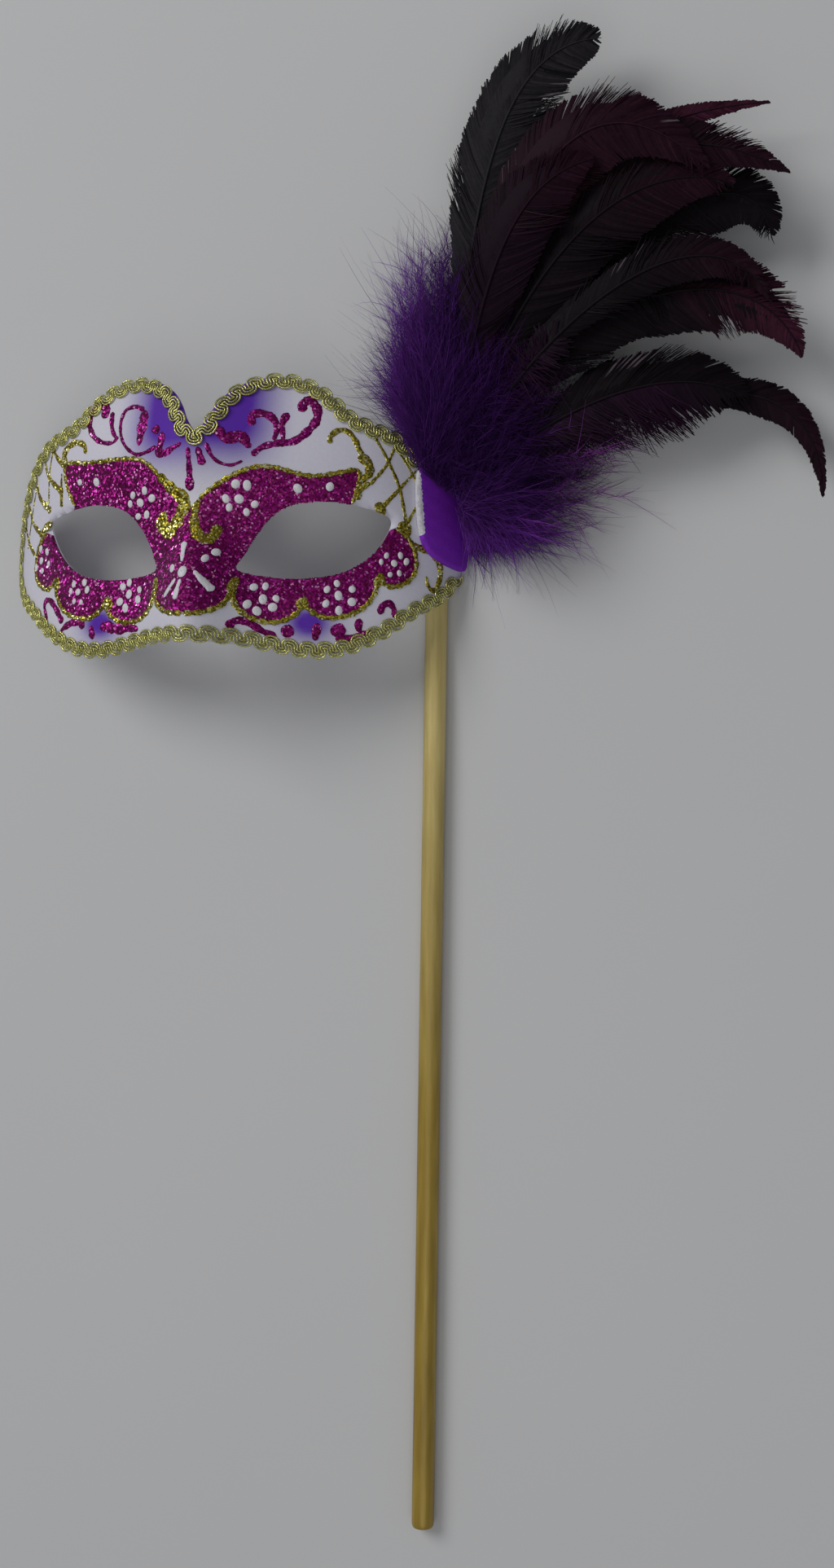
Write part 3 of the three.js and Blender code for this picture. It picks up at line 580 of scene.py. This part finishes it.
def ribbons(base, heading, bend, length, width, across, steps, tip):
    """Tapered flat strands: they start along heading and curve by bend."""
    k = np.linspace(0, 1, steps + 1)
    middle = (base[:, None] + heading[:, None] * (length[:, None] * k)[..., None]
              + bend[:, None] * (length[:, None] * k ** 2)[..., None])
    taper = (1 - (1 - tip) * k ** 1.8)[:, None] * width[:, None, None] / 2
    pair = np.stack([middle - across[:, None] * taper, middle + across[:, None] * taper], 2)
    a = (np.arange(len(base)) * 2 * (steps + 1))[:, None] + np.arange(steps) * 2
    faces = np.stack([a, a + 1, a + 3, a + 2], -1).reshape(-1, 4)
    return pair.reshape(-1, 3), faces


# Materials
def material(name, **values):
    made = bpy.data.materials.new(name)
    made.use_nodes = True
    shader = made.node_tree.nodes["Principled BSDF"]
    for key, value in values.items():
        shader.inputs[key.replace("_", " ")].default_value = value
    return made, made.node_tree.nodes, shader


def node(nodes, kind, **values):
    """A new node; values that start with in_ are for its inputs."""
    made = nodes.new("ShaderNode" + kind)
    for key, value in values.items():
        if key.startswith("in_"):
            made.inputs[key[3:].replace("_", " ")].default_value = value
        else:
            setattr(made, key, value)
    return made


def plug(source, output, target, entry):
    source.id_data.links.new(source.outputs[output], target.inputs[entry])


def placed(nodes, kind, **values):
    """A new node that is fed with the place on the object."""
    made = node(nodes, kind, **values)
    plug(node(nodes, "TexCoord"), "Object", made, "Vector")
    return made


def ramp(nodes, stops, source, output):
    made = node(nodes, "ValToRGB")
    while len(made.color_ramp.elements) < len(stops):
        made.color_ramp.elements.new(0.5)
    for element, (place, colour) in zip(made.color_ramp.elements, stops):
        element.position = place
        element.color = (*colour, 1)
    plug(source, output, made, "Fac")
    return made


def glitter(name, stops, flake, metallic, tilt, rough):
    """Paint full of small flakes, each with its own colour and tilt; the brightest flake colours are painted
    glints.
    """
    made, nodes, shader = material(name, Metallic=metallic, Roughness=rough, Specular_IOR_Level=0.15)
    cells = placed(nodes, "TexVoronoi", in_Scale=1 / flake)
    parts = node(nodes, "SeparateColor")
    plug(cells, "Color", parts, "Color")
    colours = ramp(nodes, stops, parts, "Red")
    colours.color_ramp.interpolation = "CONSTANT"
    plug(colours, "Color", shader, "Base Color")
    middle = node(nodes, "VectorMath", operation="SUBTRACT")
    middle.inputs[1].default_value = (0.5, 0.5, 0.5)
    plug(cells, "Color", middle, 0)
    scaled = node(nodes, "VectorMath", operation="SCALE", in_Scale=tilt)
    plug(middle, "Vector", scaled, 0)
    added = node(nodes, "VectorMath", operation="ADD")
    plug(node(nodes, "NewGeometry"), "Normal", added, 0)
    plug(scaled, "Vector", added, 1)
    even = node(nodes, "VectorMath", operation="NORMALIZE")
    plug(added, "Vector", even, 0)
    plug(even, "Vector", shader, "Normal")
    return made


def noisy(name, stops, scale, rough, bump, detail=6.0, stretch=(1, 1, 1), metallic=0.0):
    """Uneven colour and relief from one fine noise."""
    made, nodes, shader = material(name, Roughness=rough, Metallic=metallic)
    mapped = placed(nodes, "Mapping", in_Scale=stretch)
    noise = node(nodes, "TexNoise", in_Scale=scale, in_Detail=detail)
    plug(mapped, "Vector", noise, "Vector")
    plug(ramp(nodes, stops, noise, "Fac"), "Color", shader, "Base Color")
    relief = node(nodes, "Bump", in_Strength=bump, in_Distance=0.0004)
    plug(noise, "Fac", relief, "Height")
    plug(relief, "Normal", shader, "Normal")
    return made


def blend_along(made, stops, low, high):
    """Passes from the material's colours to others between two places along Y."""
    nodes = made.node_tree.nodes
    place = node(nodes, "MapRange", in_From_Min=low, in_From_Max=high)
    plug(placed(nodes, "SeparateXYZ"), "Y", place, "Value")
    mixed = node(nodes, "Mix", data_type="RGBA")
    plug(place, "Result", mixed, "Factor")
    plug(nodes["Color Ramp"], "Color", mixed, 6)
    plug(ramp(nodes, stops, nodes["Noise Texture"], "Fac"), "Color", mixed, 7)
    plug(mixed, 2, nodes["Principled BSDF"], "Base Color")


def tinted(name, rough, gloss, noise_scale, spread):
    """Colour from the piece's own tint, with fine variation."""
    made, nodes, shader = material(name, Roughness=rough, Specular_IOR_Level=gloss)
    noise = placed(nodes, "TexNoise", in_Scale=noise_scale, in_Detail=4.0)
    vary = node(nodes, "MapRange", in_To_Min=1 - spread, in_To_Max=1 + spread)
    plug(noise, "Fac", vary, "Value")
    scaled = node(nodes, "VectorMath", operation="SCALE")
    plug(node(nodes, "Attribute", attribute_name="tint"), "Color", scaled, 0)
    plug(vary, "Result", scaled, "Scale")
    plug(scaled, "Vector", shader, "Base Color")
    return made


# Shell: white satin paint with violet sprayed on the brow lobes and under the band
def spray(flat):
    u, v = across_at(flat[:, 0]), flat[:, 1]
    side = np.abs(u)
    brow = SPRAY_BROW * (1 - smoothstep(side, *SPRAY_BROW_SIDE)) * smoothstep(v, *SPRAY_BROW_UP)
    beside = (side - SPOT_MIDDLE[0]) / SPOT_SPREAD[0]
    below = (v - SPOT_MIDDLE[1]) / SPOT_SPREAD[1]
    spot = SPRAY_SPOT * np.exp(-beside ** 2 - below ** 2)
    return np.clip(brow + spot, 0, 1)[:, None]


eye = smooth_line(flat_of(EYE), EYE_STEP, True)
eyes = [eye, mirrored(eye)]
points, faces, flat = panel(rim_loop(RIM_STEP), eyes, -WALL, 0.0, SHELL_STEP, SHELL_CROWN, SHELL_EDGE)
mix = spray(flat)
mix[len(points) // 2:] = 0
shell_tint = WHITE_PAINT * (1 - mix) + VIOLET_PAINT * mix
SHELL_PAINT = tinted("shell_paint", rough=0.45, gloss=0.12, noise_scale=900, spread=0.06)
shell = new_piece("shell_front", points, faces, [SHELL_PAINT], "shell", shell_tint)
shell.data.set_sharp_from_angle(angle=SHARP_EDGE)
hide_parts("mask_shell")

# Glitter band round the eyes and over the nose
# The brightest flake colours of both glitters are painted glints
MAGENTA = glitter("magenta_glitter", MAGENTA_FLAKES_AND_GLINTS, flake=0.00062, metallic=0.42, tilt=0.92, rough=0.3)
GOLD = glitter("gold_glitter", GOLD_FLAKES_AND_GLINTS, flake=0.0006, metallic=0.7, tilt=0.95, rough=0.28)
WHITE = noisy("white_dots", [(0.3, (0.62, 0.62, 0.65)), (0.7, (0.8, 0.8, 0.82))],
              scale=1200, rough=0.5, bump=0.3)


def other_side(rows):
    return [(-u, v) for u, v in rows]


lower = [point for lobe in LOBES for point in lobe[:-1]] + [LOBES[-1][-1]]
right_side = BAND_RIGHT + BAND_RIGHT_END[1:] + BAND_CORNERS + lower
left_side = BAND_LEFT + BAND_LEFT_END[1:] + other_side(BAND_CORNERS + lower)
corners = flat_of(right_side[:-1] + left_side[::-1][:-1])
band_edges = []
for a, b in zip(corners, np.roll(corners, -1, 0)):
    count = max(int(np.linalg.norm(b - a) / BAND_STEP), 1)
    band_edges.append(np.linspace(a, b, count, endpoint=False))
band_loop = np.concatenate(band_edges)
band_eye = inset(smooth_line(flat_of(EYE), BAND_STEP, True), SKIRT_INSET)
band_eyes = [band_eye, mirrored(band_eye)]
flat, faces = flat_mesh(band_loop, [], BAND_STEP)
faces = faces[between_loops(flat[faces].mean(1), band_loop, band_eyes)]
used, index = np.unique(faces, return_inverse=True)
flat = flat[used]
lift = BAND_LIFT + rng.normal(0, BAND_GRAIN, len(flat))
band_parts = [(on_face(flat, lift), index.reshape(faces.shape))]
for hole in band_eyes:
    n = len(hole)
    i = np.arange(n)
    j = (i + 1) % n
    covered = inside(hole, band_loop)
    covered &= covered[j]
    skirt = np.concatenate([on_face(hole, SKIRT_TOP), on_face(hole, SKIRT_BOTTOM)])
    band_parts.append((skirt, walls(i[covered], j[covered], n)))
new_piece("glitter_band", *joined(band_parts), [MAGENTA], "shell")

# Gold edges, curls and netting, magenta scrolls, white dots
gold_parts = painted("gold") + painted("net")
for rows in (BAND_LEFT[3:], BAND_LEFT_END, BAND_RIGHT[1:], BAND_RIGHT_END):
    gold_parts.append(edge_line(rows, EDGE_WIDTH))
for lobe in LOBES:
    gold_parts.append(edge_line(lobe, LOBE_WIDTH))
    gold_parts.append(edge_line(other_side(lobe), LOBE_WIDTH))
new_piece("gold_lines", *joined(gold_parts), [GOLD], "shell")
new_piece("magenta_scrolls", *joined(painted("magenta")), [MAGENTA], "shell")
dots = [dot(*row) for row in DOTS]
for u, v, size, turn in ROSETTES:
    dots.append(dot(u, v, ROSETTE_CENTRE * size))
    for k in range(ROSETTE_DOTS):
        angle = math.radians(turn + 360 / ROSETTE_DOTS * k + 9 * math.sin(3 * k + u))
        far = (ROSETTE_RING + 0.5 * math.sin(5 * k + v)) * size
        radius = (ROSETTE_DOT + 0.16 * math.sin(7 * k + u)) * size
        dots.append(dot(u + far * math.cos(angle), v + far * math.sin(angle), radius))
new_piece("white_dots", *joined(dots + painted("white")), [WHITE], "shell")

# Braid of looped cords, with a loop in the brow notch
# The cord's colour varies at random from dull to bright gold; its brightest spots are painted glints
CORD = noisy("gold_cord", [(0.3, (0.26, 0.25, 0.05)), (0.5, (0.56, 0.54, 0.15)), (0.7, (0.95, 0.93, 0.46))],
             scale=1900, rough=0.22, bump=0.6, detail=3, metallic=0.85)
loop = rim_loop(BRAID_RIM_STEP)
stopped = (loop[:, 1] < BRAID_STOP_TOP) & (loop[:, 1] > BRAID_STOP_LOW)
stopped &= across_at(loop[:, 0]) > BRAID_STOP_U
loop = np.roll(inset(loop, BRAID_MIDDLE, BRAID_CORNER), -np.flatnonzero(stopped)[-1] - 1, 0)
loop = loop[:-stopped.sum()]
track = smooth_line(loop[::BRAID_THIN], BRAID_STEP)
forward = unit(np.gradient(track, axis=0))
far = np.arange(len(track)) * BRAID_STEP
notch = np.argmin(np.where(track[:, 1] < NOTCH_ABOVE, np.inf, np.abs(track[:, 0])))
wave = 2 * math.pi * (far - far[notch]) / BRAID_PITCH + math.pi / 2
swing = BRAID_SWING * np.sin(wave)
slip = BRAID_SLANT * swing - BRAID_CURL * BRAID_PITCH / (4 * math.pi) * np.sin(2 * wave)
winding = track + right_of(forward) * swing[:, None] + forward * slip[:, None]
beside = right_of(unit(np.gradient(winding, axis=0)))
ends = np.clip(np.minimum(far, far[-1] - far) / CORD_TAPER, 0.05, 1)
cords = []
for lane in (-1, 0, 1):
    flat = winding + beside * lane * CORD_GAP
    height = CORD_LIFT + CORD_WEAVE * np.cos(wave * 2 + lane)
    line = on_face(flat, height)
    cords.append(tube(line, CORD_RADIUS * ends, CORD_SIDES, unit(on_face(flat, height + 1) - line)))
braid = new_piece("braid_cords", *joined(cords), [CORD], "braid")
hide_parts("gold_braid")

# Felt pad with a white cut edge
FELT = noisy("purple_felt", [(0.3, (0.18, 0.009, 0.44)), (0.7, (0.24, 0.013, 0.56))],
             scale=1500, rough=0.7, bump=0.3, detail=8)
FELT_EDGE = noisy("white_felt_edge", [(0.3, (0.55, 0.54, 0.58)), (0.7, (0.75, 0.74, 0.78))],
                  scale=1500, rough=0.95, bump=0.8, detail=8)
pad_loop = smooth_line(flat_of(PAD), PAD_STEP, True)
points, faces, flat = panel(pad_loop, [], PAD_LOW, PAD_HIGH, PAD_STEP, PAD_CROWN, PAD_EDGE)
points[:, 2] += PAD_RIPPLE * np.sin(points[:, 1] * 1.1) * np.cos(points[:, 0] * 0.9)
pad = new_piece("felt_pad", points, faces, [FELT, FELT_EDGE], "felt")
middle = flat[faces].mean(1)
edge_u = PAD[0][0] + (PAD[0][1] - middle[:, 1]) * PAD_LEAN
is_edge = (across_at(middle[:, 0]) - edge_u < PAD_WHITE) & (middle[:, 1] > PAD_WHITE_LOW)
pad.data.polygons.foreach_set("material_index", is_edge.astype(np.int32))
pad.data.set_sharp_from_angle(angle=SHARP_EDGE)
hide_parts("feather_pad")

# Stick: a painted dowel with a slightly worn lower end
body = [(y, BODY_RADIUS) for y in np.linspace(BODY_START, BODY_STOP, BODY_RINGS)]
ys, radii = np.array(LOWER_END + body + UPPER_END).T
turn = full_turn(STICK_SIDES)
ring = radii[:, None] * (1 + STICK_WOBBLE * np.sin(ys / 9)[:, None] * np.cos(2 * turn))
along = np.broadcast_to(ys[:, None], ring.shape)
points = np.stack([ring * np.cos(turn), along, STICK_RADIUS - ring * np.sin(turn)], -1).reshape(-1, 3)
GILT = noisy("gold_paint", GILT_LOW, scale=300, rough=0.4, bump=0.3, detail=9, stretch=(1, 0.1, 1),
             metallic=0.15)
# Painted light: the stick's gold paint turns lighter towards its upper end
blend_along(GILT, GILT_HIGH_WITH_PAINTED_LIGHT, (OFFSET[1] + GILT_FROM) * MM, (OFFSET[1] + GILT_TO) * MM)
dowel = new_piece("gilt_stick", points, grid_faces(len(ys), len(turn), True), [GILT], "gold_wood")
dowel.data.set_sharp_from_angle(angle=STICK_SHARP)
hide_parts("stick")


# Cock feathers
def bezier(row, t):
    a, b, c, d = ROOT, *(np.array(p, float) for p in row[:3])
    t = t[:, None]
    place = (1 - t) ** 3 * a + 3 * (1 - t) ** 2 * t * b + 3 * (1 - t) * t ** 2 * c + t ** 3 * d
    along = (1 - t) ** 2 * (b - a) + 2 * (1 - t) * t * (c - b) + t ** 2 * (d - c)
    return place, unit(along)


def vane_width(row, t):
    width, blunt, opens = row[3:6]
    wide = BARE_WIDTH + (width - BARE_WIDTH) * smoothstep(t, opens - OPEN_BEFORE, opens + OPEN_AFTER)
    power, gain = (sharp + (dull - sharp) * blunt for sharp, dull in (TIP_POWER, TIP_GAIN))
    return wide * np.minimum(1, np.maximum(1 - t, 0) ** power * gain)


def feather(row, number):
    """A quill with barbs on both sides of a thin vane; the barbs near the root are loose down."""
    opens, inner, outer = row[5], np.array(row[6]), np.array(row[7])
    t = np.linspace(QUILL_START, 1, QUILL_STEPS)
    place, along = bezier(row, t)
    length = step_lengths(place).sum()
    side = unit(np.cross(along, UP))
    drop = np.cross(along, side)
    quill = tube(place + UP * QUILL_RISE, QUILL_RADIUS * (1 - t) ** QUILL_TAPER + QUILL_TIP, QUILL_SIDES, UP)
    half = vane_width(row, np.minimum(t + SHEET_SHORT, 1)) / 2
    sheet = (place[:, None] + side[:, None] * (half[:, None] * VANE_SHARES)[..., None]
             + drop[:, None] * (CAMBER * half[:, None] * VANE_SHARES ** 2 + SHEET_DROP)[..., None])
    parts = [quill, (sheet.reshape(-1, 3), grid_faces(len(t), len(VANE_SHARES), False))]
    # Painted light: the quill is tinted paler than the vane to even out the shade along it
    quill_tint = inner * QUILL_PAINTED_LIGHT_GAIN + QUILL_PAINTED_LIGHT
    tints = [np.tile(quill_tint, (len(quill[0]), 1)), np.tile(inner, (sheet.size // 3, 1))]
    count = int(length / BARB_SPACING)
    clumps = length / CLUMP_LENGTH
    for hand in (-1.0, 1.0):
        t = np.sort(rng.uniform(BARB_FROM, 1.0, count))
        half = vane_width(row, t) / 2
        lean = np.radians(BARB_LEAN - BARB_LEAN_FALL * t)
        base, _ = bezier(row, np.clip(t - half / np.tan(lean) / length, QUILL_START, 1))
        middle = (np.floor(t * clumps + 0.4 * np.sin(t * 19 + number + hand)) + 0.5) / clumps
        place, along = bezier(row, np.clip(t + (middle - t) * CLUMP_PULL, 0, 1))
        side = unit(np.cross(along, UP)) * hand
        drop = np.cross(along, side) * hand
        downy = 1 - smoothstep(t, opens - DOWNY_BEFORE, opens + DOWNY_AFTER)
        if number == FRINGED and hand > 0:
            downy = np.maximum(downy, FRINGE_DOWNY * (1 - smoothstep(t, *FRINGE_END)))
        reach = half * (1 + rng.normal(0, BARB_UNEVEN, count)) + downy * rng.uniform(*DOWNY_REACH, count)
        fray = smoothstep(np.sin(t * 17 + 2.1 * number + hand), *FRAY_WAVE) * smoothstep(t, *FRAY_FROM)
        if number in SLEEK:
            fray = fray * 0
        stray = BARB_LOOSE + DOWNY_LOOSE * downy + FRAY_LOOSE * fray
        loose = rng.normal(0, 1, (count, 3)) * stray[:, None]
        end = place + side * reach[:, None] + drop * (CAMBER * half)[:, None] + loose
        far = np.linalg.norm(end - base, axis=1)
        chord = unit(end - base)
        heading = unit(chord + side * BARB_ARCH - drop * BARB_RISE)
        wide = (BARB_WIDTH - DOWNY_THIN * downy) * (1 - FRAY_THIN * fray)
        across = unit(np.cross(drop, heading))
        parts.append(ribbons(base, heading, chord - heading, far, wide, across, BARB_STEPS, BARB_TIP))
        blend = smoothstep(t, *OUTER_FROM)[:, None]
        shade = (inner * (1 - blend) + outer * blend) * (1 + rng.normal(0, SHADE_UNEVEN, count))[:, None]
        shade = shade * (1 - downy[:, None]) + DOWNY_TINT * downy[:, None]
        barb_tints = np.repeat(np.clip(shade, SHADE_LEAST, 1)[:, None], 2 * (BARB_STEPS + 1), axis=1)
        # Painted highlights: the outer ends of some barbs are tinted pale
        for owner, flank, low, high in GLINTS:
            if (owner, flank) == (number, hand):
                lit = (t > low) & (t < high) & (rng.random(count) < GLINT_SHARE)
                barb_tints[lit, GLINT_FROM:] = PAINTED_GLINT
        tints.append(barb_tints.reshape(-1, 3))
    return *joined(parts), np.concatenate(tints)


VANE = tinted("cock_feather_vane", rough=0.42, gloss=0.035, noise_scale=700, spread=0.35)
points, faces, tint = joined([feather(row, number) for number, row in enumerate(COQUE)])
points[:, 2] = np.maximum(points[:, 2], FEATHER_FLOOR)
coque = new_piece("cock_feathers", points, faces, [VANE], "cock_feather", tint)
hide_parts("coque_fan")

# Down: strands on plumes that leave the root in three layers
DOWN = tinted("purple_down", rough=0.85, gloss=0.06, noise_scale=300, spread=0.35)


def down_strands(base, heading, length, brightness, curl):
    """Fine strands, without those that would lie over the felt pad or stand too high."""
    bend = rng.normal(0, curl, base.shape) + UP * STRAND_SAG
    tip = base + (heading + bend) * length[:, None]
    clear = tip[:, 2] < DOWN_TOP
    slack = CLEAR_SLACK * rng.random(len(base)) ** 3
    for place in (base, (base + tip) / 2, tip):
        pad_line = CLEAR_PAD[0] + CLEAR_PAD[1] * place[:, 0]
        temple_line = np.minimum(CLEAR_TEMPLE[0] + CLEAR_TEMPLE[1] * place[:, 0], CLEAR_TOP)
        below = place[:, 1] < np.maximum(pad_line, temple_line) + slack
        free = CLEAR_Z + CLEAR_RISE * np.maximum(place[:, 0] - CLEAR_EDGE, 0)
        clear &= ~(below & (place[:, 0] < CLEAR_X) & (place[:, 2] > free))
    base, heading, bend, length, brightness = (a[clear] for a in (base, heading, bend, length, brightness))
    across = unit(np.cross(heading, rng.normal(0, 1, base.shape)))
    width = rng.uniform(*STRAND_WIDTH, len(base))
    points, faces = ribbons(base, heading, bend, length, width, across, STRAND_STEPS, STRAND_TIP)
    bright = DOWN_BRIGHT + (DOWN_PLUM - DOWN_BRIGHT) * smoothstep(base[:, :1], *PLUM_X)
    # The brightness holds each strand's tone and any painted light given by the caller
    shade = DOWN_DARK + (bright - DOWN_DARK) * np.clip(brightness, 0, BRIGHT_MOST)[:, None]
    points[:, 2] = np.maximum(points[:, 2], STRAND_FLOOR + 0.5 * rng.random(len(points)))
    return points, faces, np.repeat(shade, 2 * (STRAND_STEPS + 1), axis=0)


lock_angles, lock_reaches = np.array(LOCKS, float).T
for name, middle_z, end_z, share in LAYERS:
    angle = rng.uniform(lock_angles[0] - LOCK_MARGIN, lock_angles[-1] + LOCK_MARGIN, PLUMES)
    upper = rng.random(PLUMES) < UPPER_SHARE
    angle[upper] = rng.uniform(*UPPER_ANGLES, upper.sum())
    full = np.interp(angle, lock_angles, lock_reaches) * share
    full = full - RIGHT_CUT * (1 - smoothstep(angle, *RIGHT_ANGLES))
    left = smoothstep(angle, *LEFT_ANGLES)
    far_left = smoothstep(angle, *FAR_LEFT_ANGLES)
    reach = full * rng.uniform(SHORTEST, 1.0 - LEFT_CUT * left - FAR_LEFT_CUT * far_left)
    way = np.stack([np.cos(np.radians(angle)), np.sin(np.radians(angle)), np.zeros(PLUMES)], 1)
    end = ROOT + way * reach[:, None]
    end[:, 2] = end_z + rng.normal(0, PLUME_SCATTER, PLUMES)
    middle = ROOT + way * reach[:, None] * 0.5
    middle[:, 2] = middle_z + rng.normal(0, PLUME_SCATTER, PLUMES)
    handle = 2 * middle - (ROOT + end) / 2
    which = np.repeat(np.arange(PLUMES), STRANDS)
    t = rng.uniform(STRAND_FROM, 1.0, len(which))[:, None]
    base = (1 - t) ** 2 * ROOT + 2 * t * (1 - t) * handle[which] + t ** 2 * end[which]
    along = unit((1 - t) * (handle[which] - ROOT) + t * (end[which] - handle[which]))
    spread = unit(rng.normal(0, 1, base.shape) * STRAND_FLAT)
    heading = unit(along * rng.uniform(*STRAND_AHEAD, t.shape) + spread * STRAND_ASIDE)
    length = rng.uniform(*STRAND_LENGTH, len(which)) * (LENGTH_AT_ROOT - LENGTH_FALL * t[:, 0])
    length = length * (1 + LENGTH_LEFT * left[which])
    turned = angle[which]
    outer = (turned > WISP_ABOVE) | (turned < WISP_BELOW)
    wisps = (rng.random(len(which)) < WISP_SHARE) & outer
    length[wisps] *= WISP_GROWTH
    fringe = smoothstep(t[:, 0] * (reach / full)[which], *FRINGE_REACH)
    shaded_upper_side = smoothstep(turned, *SHADED_UPPER_FROM) * (1 - smoothstep(turned, *SHADED_UPPER_UNTIL))
    # Random tone, and painted light: lighter to the left, low down and on the fringe, except on the upper
    # side in the feathers' shade
    bright = (rng.uniform(*BRIGHT_RANDOM, len(which))
              + PAINTED_LIGHT_SIDE * smoothstep(-base[:, 0], *PAINTED_LIGHT_LEFT)
              + PAINTED_LIGHT_SIDE * smoothstep(-base[:, 1], *PAINTED_LIGHT_LOW)
              + PAINTED_LIGHT_FRINGE * fringe * (1 - shaded_upper_side))
    points, faces, tint = down_strands(base, heading, length, bright, STRAND_CURL)
    new_piece(name, points, faces, [DOWN], "down", tint)

# Heart of the down: a dark core that is painted shade, with strands all over it, and the tufts
theta = np.linspace(CORE_POLE, math.pi - CORE_POLE, CORE_ROWS)[:, None]
phi = full_turn(CORE_COLUMNS)
pole = np.broadcast_to(np.cos(theta), (CORE_ROWS, CORE_COLUMNS))
ball = np.stack([np.sin(theta) * np.cos(phi), np.sin(theta) * np.sin(phi), pole], -1).reshape(-1, 3)
lumps = 1 + 0.06 * np.sin(ball[:, :1] * 9) * np.cos(ball[:, 1:2] * 7)
core = HEART + ball * HEART_RADII * CORE_SHARE * lumps
# Painted shade: the core is tinted darker than the darkest strands
core_painted_shade = np.tile(DOWN_DARK * CORE_SHADE, (len(core), 1))
made = [(core, grid_faces(CORE_ROWS, CORE_COLUMNS, True)[:, ::-1], core_painted_shade)]
way = unit(rng.normal(0, 1, (HEART_STRANDS, 3)))
base = HEART + way * HEART_RADII * HEART_SHARE
heading = unit(way * HEART_OUT + rng.normal(0, HEART_SPREAD, way.shape) + HEART_LEAN)
length = rng.uniform(*HEART_LENGTH, HEART_STRANDS)
bright = rng.uniform(*HEART_BRIGHT, HEART_STRANDS)
made.append(down_strands(base, heading, length, bright, HEART_CURL))
for low, high, count in TUFTS:
    base = np.array(low) + (np.array(high) - low) * rng.random((count, 3))
    heading = unit(rng.normal(0, 1, (count, 3)) * TUFT_SPREAD + TUFT_LEAN)
    length = rng.uniform(*TUFT_LENGTH, count)
    made.append(down_strands(base, heading, length, rng.uniform(*TUFT_BRIGHT, count), TUFT_CURL))
points, faces, tint = joined(made)
heart = new_piece("marabou_heart", points, faces, [DOWN], "down", tint)
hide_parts("marabou")

# Floor
FLOOR = noisy("floor_paper", [(0.3, (0.6, 0.6, 0.595)), (0.7, (0.62, 0.62, 0.615))],
              scale=3, rough=0.9, bump=0.0)
floor_mesh = bpy.data.meshes.new("floor")
floor_corners = [(x * FLOOR_HALF, y * FLOOR_HALF, 0) for x, y in ((-1, -1), (1, -1), (1, 1), (-1, 1))]
floor_mesh.from_pydata(floor_corners, [], [(0, 1, 2, 3)])
floor_mesh.materials.append(FLOOR)
floor = add_object("floor", floor_mesh)

# Lights and sky
for name, place, target, size, power in LIGHTS:
    data = bpy.data.lights.new(name, "AREA")
    data.shape = "DISK"
    data.size = size
    data.energy = power
    light = add_object(name, data)
    light.location = place
    light.rotation_euler = (Vector(target) - Vector(place)).to_track_quat("-Z", "Y").to_euler()
world = bpy.data.worlds.new("studio")
world.use_nodes = True
sky = world.node_tree.nodes["Background"]
sky.inputs["Color"].default_value = SKY_COLOUR
sky.inputs["Strength"].default_value = SKY_STRENGTH
scene.world = world
scene.view_settings.view_transform = "Standard"

# Camera
camera_data = bpy.data.cameras.new("camera")
camera_data.sensor_fit = "VERTICAL"
camera_data.sensor_height = SENSOR_HEIGHT
camera_data.lens = SENSOR_HEIGHT * FOCAL / FRAME_HEIGHT
camera = add_object("camera", camera_data)
turn = Matrix.Rotation(YAW, 4, "Y") @ Matrix.Rotation(ROLL, 4, "Z")
camera.matrix_world = Matrix.Translation(Vector(EYE_POINT)) @ turn
scene.camera = camera
